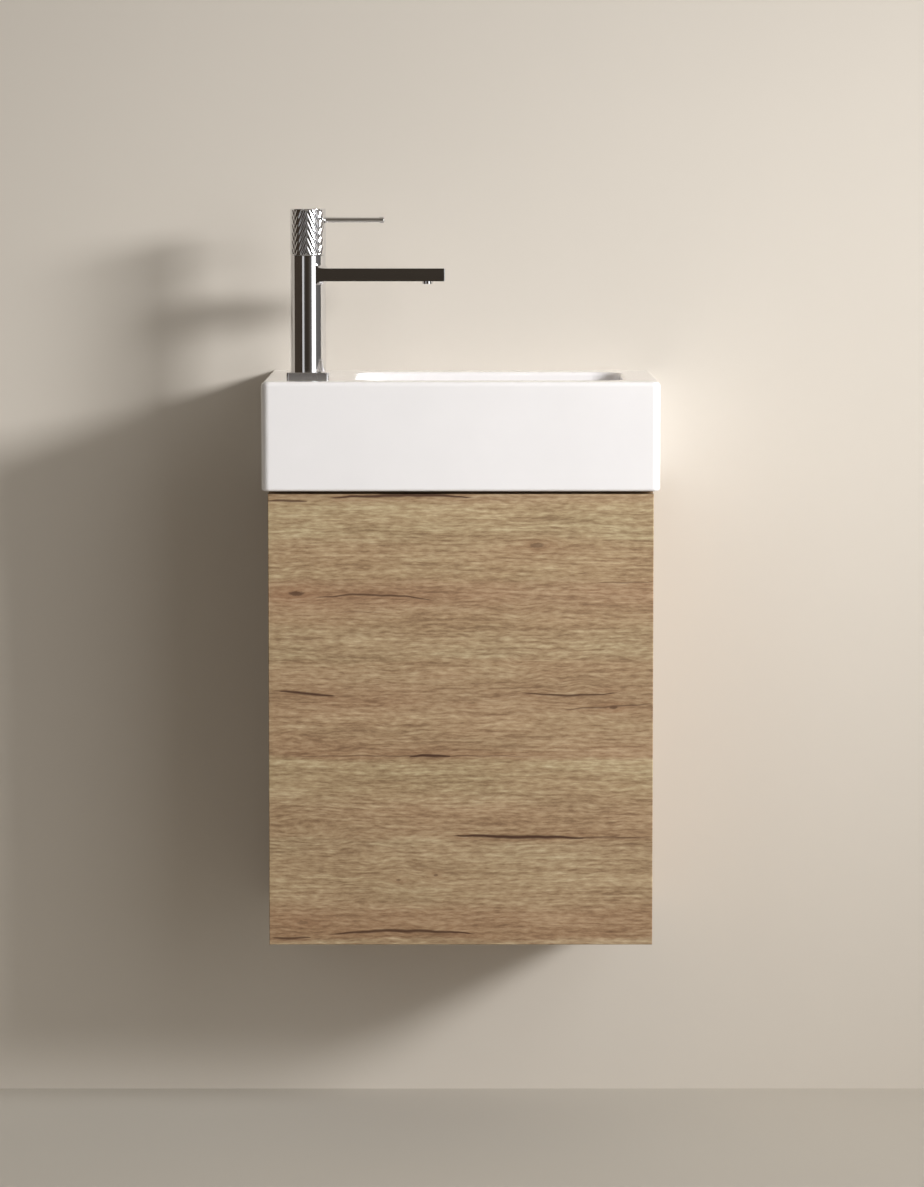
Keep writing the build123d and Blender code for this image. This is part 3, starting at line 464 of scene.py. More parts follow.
@dataclass(frozen=True)
class SmoothFinish:
    """A finish with an even colour that the fine surface group makes lively."""

    name: str
    colour: tuple[float, float, float, float]
    shade: tuple[float, float, float, float]
    low: float
    high: float
    grain: float = 40.0
    metallic: float = 0.0
    bump: float = 0.00002
    coat: float = 0.0
    specular: float = 0.5
    alpha: float = 1.0

    def build(self) -> bpy.types.Material:
        """Returns the finished material."""
        material, graph, shader, place = start_material(self.name)
        surface = graph.group(EFFECTS.fine_surface, Vector=place, Grain=self.grain, Low=self.low, High=self.high)
        colour = graph.blend(surface.outputs["Cloud"], self.shade, self.colour)
        graph.feed(shader.inputs["Base Color"], colour)
        graph.feed(shader.inputs["Roughness"], surface.outputs["Roughness"])
        shader.inputs["Metallic"].default_value = self.metallic
        shader.inputs["Specular IOR Level"].default_value = self.specular
        shader.inputs["Coat Weight"].default_value = self.coat
        shader.inputs["Coat Roughness"].default_value = 0.05
        shader.inputs["Alpha"].default_value = self.alpha
        add_bump(graph, shader, surface.outputs["Height"], self.bump)
        return material


@dataclass(frozen=True)
class Split:
    """One crack in the front's print: its middle, half length and width, slope, bow and depth of colour."""

    across: float
    height: float
    half_length: float
    half_width: float = 0.0006
    slope: float = 0.0
    bow: float = 0.0
    depth: float = 0.8


@dataclass(frozen=True)
class Knot:
    """One knot in the front's print: its middle, half length, half height and depth of colour."""

    across: float
    height: float
    half_length: float
    half_height: float
    depth: float = 0.7


@dataclass(frozen=True)
class OakFront:
    """The door's oak-effect face: level grain, tone bands, cracks and knots; the bands also hold painted shade
    under the basin at the top and a painted highlight along the bottom edge.
    """

    name: str = "oak_front"
    low: float = -0.4
    high: float = 0.057
    middle: tuple[int, int, int] = (163, 137, 106)
    band_level: float = 0.8
    band_calm: float = 0.4
    sway: float = 0.004
    pore_colour: tuple[int, int, int] = (112, 82, 56)
    warm_colour: tuple[int, int, int] = (138, 96, 66)
    crack_colour: tuple[int, int, int] = (70, 42, 22)
    figure_stops: tuple[tuple[float, tuple[int, int, int]], ...] = (
        (0.0, (112, 82, 56)),
        (0.3, (150, 121, 90)),
        (0.5, (180, 152, 118)),
        (0.7, (204, 180, 146)),
        (1.0, (232, 212, 180)),
    )
    bands: tuple[tuple[float, tuple[int, int, int]], ...] = (
        # painted highlight: the two lowest bands lighten the door's bottom edge
        (-0.4, (172, 150, 119)),
        (-0.3955, (171, 148, 117)),
        (-0.3925, (150, 118, 88)),
        (-0.368, (152, 121, 91)),
        (-0.354, (164, 140, 108)),
        (-0.33, (166, 144, 111)),
        (-0.2925, (169, 148, 116)),
        (-0.2885, (157, 130, 99)),
        (-0.262, (162, 135, 104)),
        (-0.24, (166, 144, 110)),
        (-0.2135, (167, 147, 112)),
        (-0.2085, (151, 120, 90)),
        (-0.196, (158, 130, 99)),
        (-0.172, (163, 137, 105)),
        (-0.1575, (154, 124, 94)),
        (-0.146, (155, 127, 97)),
        (-0.112, (160, 134, 102)),
        (-0.1065, (167, 147, 114)),
        (-0.084, (165, 143, 110)),
        (-0.07, (159, 131, 99)),
        (-0.045, (153, 121, 92)),
        (-0.033, (154, 124, 94)),
        (-0.0275, (165, 141, 107)),
        (0.004, (164, 139, 106)),
        (0.02, (169, 150, 115)),
        (0.045, (168, 147, 112)),
        # painted shade: the last two bands darken the door's top, where the basin's overhang shades it
        (0.051, (158, 133, 101)),
        (0.057, (150, 124, 95)),
    )
    splits: tuple[Split, ...] = (
        Split(-0.174, 0.0503, 0.021, 0.0007),
        Split(-0.060, 0.0532, 0.074, 0.0009, 0.0, 0.0028, 0.95),
        Split(-0.087, -0.0490, 0.061, 0.0006, -0.02, 0.0048, 0.8),
        Split(-0.1547, -0.1441, 0.029, 0.0008, -0.09, 0.0, 0.95),
        Split(0.110, -0.1430, 0.049, 0.0006, 0.0, -0.0032, 0.85),
        Split(0.148, -0.1575, 0.044, 0.0005, 0.07, 0.0, 0.6),
        Split(-0.048, -0.2090, 0.124, 0.0004, 0.0, 0.0018, 0.5),
        Split(-0.031, -0.2080, 0.022, 0.0009, 0.03, 0.0008, 1.0),
        Split(0.060, -0.2893, 0.070, 0.0010, -0.015, -0.0006, 1.0),
        Split(0.120, -0.2903, 0.075, 0.0005, 0.0, 0.0, 0.6),
        Split(-0.059, -0.3893, 0.074, 0.0009, 0.0, 0.0031, 0.9),
        Split(-0.171, -0.3930, 0.020, 0.0007),
        Split(-0.105, -0.0615, 0.022, 0.0004, 0.0, 0.0, 0.3),
        Split(0.165, -0.0315, 0.030, 0.0005, 0.03, 0.0, 0.4),
    )
    knots: tuple[Knot, ...] = (
        Knot(-0.165, -0.0432, 0.030, 0.009, 0.75),
        Knot(0.0768, 0.0056, 0.026, 0.009, 0.5),
        Knot(0.1536, -0.1580, 0.018, 0.007, 0.7),
        Knot(-0.160, -0.3775, 0.022, 0.008, 0.35),
        Knot(-0.0255, -0.3290, 0.009, 0.005, 0.5),
        Knot(-0.0627, -0.3340, 0.009, 0.004, 0.45),
        Knot(-0.155, -0.2790, 0.040, 0.016, 0.0),
    )

    def _tints(self) -> list[tuple[float, tuple[float, ...]]]:
        """Returns the bands as shares of the middle colour, along the front's height; the top ones are painted
        shade under the basin and the lowest ones a painted edge highlight.
        """
        middle = srgb(*self.middle)
        rise = self.high - self.low
        tints = []
        for height, colour in self.bands:
            shares = tuple(
                self.band_level * (self.band_calm + (1 - self.band_calm) * part / whole)
                for part, whole in zip(srgb(*colour)[:3], middle[:3])
            )
            tints.append(((height - self.low) / rise, shares + (1.0,)))
        return tints

    def build(self) -> bpy.types.Material:
        """Returns the finished material."""
        material, graph, shader, place = start_material(self.name)
        parts = graph.add("ShaderNodeSeparateXYZ")
        graph.feed(parts.inputs[0], place)
        core: Any = 0.0
        warm: Any = 0.0
        push: Any = 0.0
        for knot in self.knots:
            mark = graph.group(
                EFFECTS.knot_mark,
                Vector=place,
                Across=knot.across,
                Height=knot.height,
                Half_Length=knot.half_length,
                Half_Height=knot.half_height,
            )
            core = graph.math("MAXIMUM", core, graph.math("MULTIPLY", mark.outputs["Core"], knot.depth))
            warm = graph.math("MAXIMUM", warm, graph.math("MULTIPLY", mark.outputs["Halo"], knot.depth))
            push = graph.math("ADD", push, mark.outputs["Push"])
        for split in self.splits:
            mark = graph.group(
                EFFECTS.split_mark,
                Vector=place,
                Across=split.across,
                Height=split.height,
                Half_Length=split.half_length,
                Half_Width=split.half_width,
                Slope=split.slope,
                Bow=split.bow,
            )
            core = graph.math("MAXIMUM", core, graph.math("MULTIPLY", mark.outputs["Mask"], split.depth))
            warm = graph.math("MAXIMUM", warm, graph.math("MULTIPLY", mark.outputs["Halo"], 0.5 * split.depth))
        figure = graph.group(EFFECTS.wood_figure, Vector=place, Sway=self.sway, Lift=push)
        value = graph.math("MULTIPLY_ADD", figure.outputs["Flecks"], 0.85)
        graph.feed(value.node.inputs[2], -0.54)
        fine = graph.math("MULTIPLY", figure.outputs["Lines"], 0.8)
        broad = graph.math("MULTIPLY", figure.outputs["Tone"], 0.43)
        value = graph.math("ADD", graph.math("ADD", value, fine), broad, clamp=True)
        colour = graph.ramp(value, [(place_on, srgb(*shade)) for place_on, shade in self.figure_stops])
        drift = graph.noise(graph.scaled(place, (7, 5, 30)), 1.0, 2.0)
        drift = graph.math("MULTIPLY", graph.math("SUBTRACT", drift, 0.5), 0.02)
        level = graph.math("ADD", parts.outputs[2], drift)
        # tone bands up the door, with the painted shade at the top and the painted highlight along the bottom
        # edge
        tints = graph.ramp(graph.spread(level, self.low, self.high), self._tints())
        colour = graph.blend(1.0, colour, tints, "MULTIPLY")
        hue = graph.spread(graph.noise(graph.scaled(place, (9, 40, 40), (1, 8, 3)), 1.0, 2.0), 0.4, 0.62)
        green = graph.blend(1.0, colour, (1.0, 1.003, 0.985, 1.0), "MULTIPLY")
        red = graph.blend(1.0, colour, (1.012, 0.985, 0.968, 1.0), "MULTIPLY")
        colour = graph.blend(hue, red, green)
        pores = graph.math("MULTIPLY", figure.outputs["Pores"], 0.22)
        colour = graph.blend(pores, colour, srgb(*self.pore_colour))
        colour = graph.blend(graph.math("MULTIPLY", warm, 0.5), colour, srgb(*self.warm_colour))
        colour = graph.blend(core, colour, srgb(*self.crack_colour))
        graph.feed(shader.inputs["Base Color"], colour)
        graph.feed(shader.inputs["Roughness"], graph.spread(figure.outputs["Lines"], 0.35, 0.65, 0.62, 0.5))
        height = graph.math("SUBTRACT", figure.outputs["Height"], graph.math("MULTIPLY", core, 1.5))
        add_bump(graph, shader, height, 0.00012)
        return material


@dataclass(frozen=True)
class BoardFinish:
    """Melamine board with a quiet wood print."""

    name: str
    light: tuple[float, float, float, float]
    dark: tuple[float, float, float, float]
    rough: float = 0.45

    def build(self) -> bpy.types.Material:
        """Returns the finished material."""
        material, graph, shader, place = start_material(self.name)
        figure = graph.group(EFFECTS.wood_figure, Vector=place, Sway=0.004)
        value = graph.math("ADD", figure.outputs["Lines"], graph.math("MULTIPLY", figure.outputs["Tone"], 0.6))
        colour = graph.blend(graph.spread(value, 0.62, 0.98), self.dark, self.light)
        colour = graph.blend(graph.math("MULTIPLY", figure.outputs["Pores"], 0.35), colour, self.dark)
        graph.feed(shader.inputs["Base Color"], colour)
        low, high = self.rough, self.rough + 0.12
        graph.feed(shader.inputs["Roughness"], graph.spread(figure.outputs["Lines"], 0.35, 0.65, high, low))
        add_bump(graph, shader, figure.outputs["Height"], 0.00005)
        return material


def finishes() -> dict[str, bpy.types.Material]:
    """Returns every finish of the part by its slot name."""
    made: dict[str, Any] = {
        "basin_glaze": SmoothFinish(
            "basin_glaze", srgb(241, 239, 240), srgb(238, 236, 237), 0.05, 0.09, 14.0, coat=0.4
        ),
        "bright_chrome": SmoothFinish(
            "bright_chrome", srgb(232, 232, 234), srgb(226, 226, 228), 0.03, 0.07, 30.0, 1.0, 0.000004
        ),
        "brass_fitting": SmoothFinish(
            "brass_fitting", srgb(214, 178, 108), srgb(190, 150, 88), 0.22, 0.38, 60.0, 1.0
        ),
        "seal_rubber": SmoothFinish("seal_rubber", srgb(44, 44, 45), srgb(34, 34, 35), 0.6, 0.8, 90.0),
        "trap_plastic": SmoothFinish("trap_plastic", srgb(238, 238, 236), srgb(230, 230, 227), 0.3, 0.42, 60.0),
        "carcass_board": BoardFinish("carcass_board", srgb(160, 132, 100), srgb(146, 118, 88)),
        "oak_front": OakFront(),
        "dowel_beech": BoardFinish("dowel_beech", srgb(222, 188, 146), srgb(200, 162, 118), 0.6),
        "nickel_steel": SmoothFinish(
            "nickel_steel", srgb(196, 194, 190), srgb(176, 174, 170), 0.2, 0.34, 70.0, 1.0
        ),
        "zinc_steel": SmoothFinish("zinc_steel", srgb(190, 192, 196), srgb(160, 163, 168), 0.3, 0.5, 80.0, 1.0),
        "white_plastic": SmoothFinish("white_plastic", srgb(236, 236, 234), srgb(228, 228, 226), 0.36, 0.5, 60.0),
        "grey_plastic": SmoothFinish("grey_plastic", srgb(150, 151, 152), srgb(138, 139, 141), 0.4, 0.55, 60.0),
        "clear_bumper": SmoothFinish("clear_bumper", srgb(226, 228, 228), srgb(214, 217, 218), 0.15, 0.3, 50.0),
    }
    return {name: finish.build() for name, finish in made.items()}


@dataclass
class Camera:
    """The photograph's viewpoint: level with the tap's handle and a little above the deck."""

    eye: tuple[float, float, float] = (0.0012, -4.05, 0.3856)
    pitch: float = 4.2546
    lens: float = 116.41
    sensor: float = 36.0
    shift_y: float = -0.12

    def place(self) -> bpy.types.Object:
        """Makes the camera and hands it to the scene.

        Returns:
            The camera object.
        """
        data = bpy.data.cameras.new("photo_camera")
        data.sensor_width = self.sensor
        data.sensor_fit = "AUTO"
        data.lens = self.lens
        data.shift_y = self.shift_y
        data.clip_end = 50
        camera = bpy.data.objects.new("photo_camera", data)
        camera.location = self.eye
        camera.rotation_euler = (math.radians(90 - self.pitch), 0, 0)
        bpy.context.scene.collection.objects.link(camera)
        bpy.context.scene.camera = camera
        return camera


@dataclass(frozen=True)
class Softbox:
    """One area lamp: its turn from the camera's side, distance, width, lower and upper edge, power and spread."""

    name: str
    azimuth: float
    distance: float
    width: float
    low: float
    high: float
    power: float
    spread: float = 180.0


@dataclass
class Studio:
    """A pale wall and floor in a dim room, lit by a large and a narrow lamp from the right and two weak ones."""

    floor_level: float = -0.6006
    wall_half_width: float = 2.4
    wall_top: float = 2.2
    floor_reach: float = 3.6
    lamps: tuple[Softbox, ...] = (
        Softbox("key_right", 38, 3.2, 1.7, -0.5, 2.6, 27.5),
        Softbox("strip_left", -34, 3.4, 1.0, -0.5, 2.2, 5.0),
        Softbox("back_lift", 180, 3.2, 2.6, 0.2, 2.6, 5.0),
        Softbox("side_beam", 59, 3.0, 1.0, 0.7, 1.2, 11.5, 55.0),
    )
    lamp_aim: tuple[float, float, float] = (-0.05, -0.15, 0.1)
    seen_room: tuple[int, int, int] = (222, 218, 210)
    card_side: float = -0.75
    card_front: float = -0.9
    card_back: float = -0.02
    card_low: float = -0.3
    card_top: float = 0.9
    room_strength: float = 0.4
    ceiling: tuple[int, int, int] = (216, 205, 188)
    room_shades: tuple[tuple[float, tuple[int, int, int]], ...] = (
        (-180, (120, 116, 112)),
        (-90, (128, 124, 119)),
        (-66, (132, 128, 123)),
        (-59, (96, 89, 82)),
        (-50, (118, 113, 107)),
        (-23, (108, 102, 96)),
        (-16, (98, 89, 80)),
        (-9, (86, 77, 67)),
        (4, (98, 88, 77)),
        (11, (122, 113, 104)),
        (17, (150, 145, 140)),
        (57, (176, 172, 168)),
        (66, (162, 158, 154)),
        (90, (148, 145, 142)),
        (180, (120, 116, 112)),
    )

    def _plane(self, name: str, corners: Sequence[Sequence[float]]) -> bpy.types.Object:
        """Returns a stage quad through four corners.

        Args:
            name: its name.
            corners: its corners, in turn.

        Returns:
            The quad's object.
        """
        mesh = bpy.data.meshes.new(name)
        mesh.from_pydata([tuple(corner) for corner in corners], [], [(0, 1, 2, 3)])
        stage = bpy.data.objects.new(name, mesh)
        bpy.context.scene.collection.objects.link(stage)
        return stage

    def _paint(self, name: str, colour: tuple[float, float, float, float], open_back: bool) -> bpy.types.Material:
        """Returns matt paint, clear from behind and to shadow rays where open_back says so.

        Args:
            name: the paint's name.
            colour: its colour.
            open_back: whether it is clear from behind.

        Returns:
            The material.
        """
        material, graph, shader, place = start_material(name)
        surface = graph.group(EFFECTS.fine_surface, Vector=place, Grain=3.0, Low=0.85, High=0.95)
        shade = tuple(0.985 * part for part in colour[:3]) + (1.0,)
        graph.feed(shader.inputs["Base Color"], graph.blend(surface.outputs["Cloud"], shade, colour))
        graph.feed(shader.inputs["Roughness"], surface.outputs["Roughness"])
        shader.inputs["Specular IOR Level"].default_value = 0.1
        if open_back:
            clear = graph.add("ShaderNodeBsdfTransparent")
            join = graph.add("ShaderNodeMixShader")
            facing = graph.add("ShaderNodeNewGeometry")
            path = graph.add("ShaderNodeLightPath")
            see_through = graph.math(
                "MAXIMUM", facing.outputs["Backfacing"], path.outputs["Is Shadow Ray"]
            )
            graph.feed(join.inputs[0], see_through)
            graph.feed(join.inputs[1], shader.outputs[0])
            graph.feed(join.inputs[2], clear.outputs[0])
            output = next(node for node in graph.tree.nodes if node.type == "OUTPUT_MATERIAL")
            graph.feed(output.inputs["Surface"], join.outputs[0])
        return material

    def _hang(self, box: Softbox) -> None:
        """Adds one lamp that faces the tap.

        Args:
            box: the lamp's place, size and power.
        """
        data = bpy.data.lights.new(box.name, "AREA")
        data.shape = "RECTANGLE"
        data.size = box.width
        data.size_y = box.high - box.low
        data.energy = box.power
        data.spread = math.radians(box.spread)
        lamp = bpy.data.objects.new(box.name, data)
        turn = math.radians(box.azimuth)
        aim = Vector(self.lamp_aim)
        lamp.location = (
            aim.x + box.distance * math.sin(turn),
            aim.y - box.distance * math.cos(turn),
            (box.low + box.high) / 2,
        )
        lamp.rotation_euler = (Vector(lamp.location) - aim).to_track_quat("Z", "Y").to_euler()
        lamp.visible_camera = False
        bpy.context.scene.collection.objects.link(lamp)

    def _room(self) -> None:
        """Makes the world: a dim room, darkest behind the camera, under a lighter ceiling."""
        world = bpy.data.worlds.new("room")
        world.use_nodes = True
        bpy.context.scene.world = world
        graph = Graph(world.node_tree)
        output = graph.add("ShaderNodeOutputWorld")
        dim = graph.add("ShaderNodeBackground")
        seen = graph.add("ShaderNodeBackground")
        place = graph.add("ShaderNodeTexCoord")
        parts = graph.add("ShaderNodeSeparateXYZ")
        graph.feed(parts.inputs[0], place.outputs["Generated"])
        towards = graph.math("MULTIPLY", parts.outputs[1], -1.0)
        azimuth = graph.math("DEGREES", graph.math("ARCTAN2", parts.outputs[0], towards))
        shade = graph.ramp(graph.spread(azimuth, -180.0, 180.0), [
            ((angle + 180) / 360, srgb(*colour)) for angle, colour in self.room_shades
        ])
        up = graph.spread(parts.outputs[2], 0.08, 0.7)
        sky = graph.blend(up, shade, srgb(*self.ceiling))
        graph.feed(dim.inputs["Color"], sky)
        dim.inputs["Strength"].default_value = self.room_strength
        seen.inputs["Color"].default_value = srgb(*self.seen_room)
        path = graph.add("ShaderNodeLightPath")
        join = graph.add("ShaderNodeMixShader")
        graph.feed(join.inputs[0], path.outputs["Is Camera Ray"])
        graph.feed(join.inputs[1], dim.outputs[0])
        graph.feed(join.inputs[2], seen.outputs[0])
        graph.feed(output.inputs["Surface"], join.outputs[0])

    def light(self) -> None:
        """Sets the world, the lamps and one dark card that only reflections show."""
        for box in self.lamps:
            self._hang(box)
        side, front, back = self.card_side, self.card_front, self.card_back
        low, top = self.card_low, self.card_top
        corners = ((side, front, low), (side, back, low), (side, back, top), (side, front, top))
        card = self._plane("stage_card", corners)
        card.data.materials.append(self._paint("stage_card_felt", srgb(58, 50, 42), False))
        card.visible_camera = False
        card.visible_diffuse = False
        card.visible_shadow = False
        self._room()

    def build(self) -> None:
        """Makes the wall, the floor and the light."""
        side, top, low, reach = self.wall_half_width, self.wall_top, self.floor_level, self.floor_reach
        wall = self._plane("stage_wall", ((-side, 0, low), (side, 0, low), (side, 0, top), (-side, 0, top)))
        wall.data.materials.append(self._paint("stage_wall_paint", srgb(210, 203, 193), True))
        floor = self._plane(
            "stage_floor", ((-side, -reach, low), (side, -reach, low), (side, 0, low), (-side, 0, low))
        )
        floor.data.materials.append(self._paint("stage_floor_paint", srgb(196, 191, 182), False))
        self.light()


class Dresser:
    """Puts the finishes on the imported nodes."""

    def __init__(self, looks: dict[str, bpy.types.Material]) -> None:
        """Keeps the finishes.

        Args:
            looks: each finish by slot name.
        """
        self.looks = looks

    def dress_nodes(self) -> int:
        """Gives each node's slots the finish of the same name.

        Returns:
            How many nodes were dressed.
        """
        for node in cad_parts.values():
            for place, slot in enumerate(node.material_slots):
                name = slot.material.name if slot.material else ""
                node.material_slots[place].material = self.looks[name.split(".")[0]]
        return len(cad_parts)


def new_tree(name: str, inputs: dict[str, tuple[str, Any]]) -> tuple[Any, Graph, Any, Any]:
    """Starts a geometry tree with a geometry input, named inputs and a geometry output.

    Args:
        name: the tree's name.
        inputs: each named input's socket type and default.

    Returns:
        The tree, its graph, and its input and output nodes.
    """
    tree = bpy.data.node_groups.new(name, "GeometryNodeTree")
    tree.interface.new_socket(name="Geometry", in_out="INPUT", socket_type="NodeSocketGeometry")
    for label, (kind, default) in inputs.items():
        socket = tree.interface.new_socket(name=label, in_out="INPUT", socket_type=kind)
        if default is not None:
            socket.default_value = default
    tree.interface.new_socket(name="Geometry", in_out="OUTPUT", socket_type="NodeSocketGeometry")
    graph = Graph(tree)
    return tree, graph, graph.add("NodeGroupInput"), graph.add("NodeGroupOutput")


def finish_tree(graph: Graph, source: Any, sink: Any, shape: Any) -> None:
    """Ends a tree with shading, Realize Instances and Set Material.

    Args:
        graph: the tree's graph.
        source: its input node.
        sink: its output node.
        shape: the geometry to finish.
    """
    shade = graph.add("GeometryNodeSetShadeSmooth")
    shade.inputs["Shade Smooth"].default_value = True
    graph.feed(shade.inputs["Geometry"], shape)
    real = graph.add("GeometryNodeRealizeInstances")
    graph.feed(real.inputs["Geometry"], shade.outputs[0])
    paint = graph.add("GeometryNodeSetMaterial")
    graph.feed(paint.inputs["Geometry"], real.outputs[0])
    graph.feed(paint.inputs["Material"], source.outputs["Finish"])
    graph.feed(sink.inputs[0], paint.outputs[0])


def grow(name: str, base: bpy.types.Mesh, tree: bpy.types.NodeTree, values: dict[str, Any]) -> bpy.types.Object:
    """Runs a geometry tree on a base mesh and keeps the result as a plain mesh.

    Args:
        name: the piece's name.
        base: the mesh that the tree starts from.
        tree: the geometry tree.
        values: its inputs by name.

    Returns:
        The finished object, with no modifier left.
    """
    piece = bpy.data.objects.new(name, base)
    bpy.context.scene.collection.objects.link(piece)
    modifier = piece.modifiers.new("grow", "NODES")
    modifier.node_group = tree
    for item in tree.interface.items_tree:
        if item.item_type == "SOCKET" and item.in_out == "INPUT" and item.name in values:
            modifier[item.identifier] = values[item.name]
    bpy.context.view_layer.update()
    graph = bpy.context.evaluated_depsgraph_get()
    mesh = bpy.data.meshes.new_from_object(piece.evaluated_get(graph), depsgraph=graph)
    piece.modifiers.clear()
    piece.data = mesh
    mesh.set_sharp_from_angle(angle=math.radians(SHARP_ANGLE))
    return piece


def seat_mesh(name: str, seats: Sequence[tuple[Vector, Vector]]) -> bpy.types.Mesh:
    """Returns loose points with a lean attribute that says which way each piece faces.

    Args:
        name: the mesh's name.
        seats: each seat's point and direction.

    Returns:
        The mesh of points.
    """
    mesh = bpy.data.meshes.new(name)
    mesh.from_pydata([tuple(point) for point, _ in seats], [], [])
    lean = mesh.attributes.new("lean", "FLOAT_VECTOR", "POINT")
    for entry, (_, direction) in zip(lean.data, seats):
        entry.vector = direction
    return mesh


def solid_boxes(node: str) -> list[tuple[Vector, Vector]]:
    """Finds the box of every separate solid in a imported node.

    Args:
        node: the node's name.

    Returns:
        The lowest and highest corner of each solid, in order.
    """
    shell = bmesh.new()
    shell.from_mesh(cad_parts[node].data)
    bmesh.ops.remove_doubles(shell, verts=shell.verts, dist=1e-6)
    left = set(shell.verts)
    boxes = []
    while left:
        first = left.pop()
        island, edge = [first], [first]
        while edge:
            for link in edge.pop().link_edges:
                for vert in link.verts:
                    if vert in left:
                        left.remove(vert)
                        island.append(vert)
                        edge.append(vert)
        corners = [vert.co for vert in island]
        low = Vector([min(corner[axis] for corner in corners) for axis in range(3)])
        high = Vector([max(corner[axis] for corner in corners) for axis in range(3)])
        boxes.append((low, high))
    shell.free()
    return sorted(boxes, key=lambda box: tuple(round(part, 5) for part in (*box[0], *box[1])))


def place_instances(graph: Graph, source: Any, shape: Any) -> Any:
    """Returns one copy of a shape on every seat point, turned so that its Z follows the lean attribute.

    Args:
        graph: the tree's graph.
        source: its input node, whose geometry is the seats.
        shape: the shape to copy.

    Returns:
        The instances' socket.
    """
    lean = graph.add("GeometryNodeInputNamedAttribute", data_type="FLOAT_VECTOR")
    lean.inputs["Name"].default_value = "lean"
    turn = graph.add("FunctionNodeAlignRotationToVector", axis="Z")
    graph.feed(turn.inputs["Vector"], lean.outputs[0])
    spots = graph.add("GeometryNodeInstanceOnPoints")
    graph.feed(spots.inputs["Points"], source.outputs["Geometry"])
    graph.feed(spots.inputs["Instance"], shape)
    graph.feed(spots.inputs["Rotation"], turn.outputs[0])
    return spots.outputs[0]


def shifted(graph: Graph, shape: Any, rise: Any, turn: Sequence[float] = (0, 0, 0)) -> Any:
    """Returns a shape turned and then moved along Z.

    Args:
        graph: the tree's graph.
        shape: the shape.
        rise: how far it moves.
        turn: its turn about each axis.

    Returns:
        The geometry's socket.
    """
    point = graph.add("ShaderNodeCombineXYZ")
    graph.feed(point.inputs[2], rise)
    move = graph.add("GeometryNodeTransform")
    graph.feed(move.inputs["Geometry"], shape)
    graph.feed(move.inputs["Translation"], point.outputs[0])
    graph.feed(move.inputs["Rotation"], tuple(turn))
    return move.outputs[0]


def cut(graph: Graph, body: Any, *tools: Any) -> Any:
    """Returns a solid with other solids taken out of it.

    Args:
        graph: the tree's graph.
        body: the solid to cut.
        tools: the solids to take out.

    Returns:
        The geometry's socket.
    """
    node = graph.add("GeometryNodeMeshBoolean", operation="DIFFERENCE", solver="EXACT")
    graph.feed(node.inputs["Mesh 1"], body)
    for tool in tools:
        graph.tree.links.new(tool, node.inputs["Mesh 2"])
    return node.outputs["Mesh"]


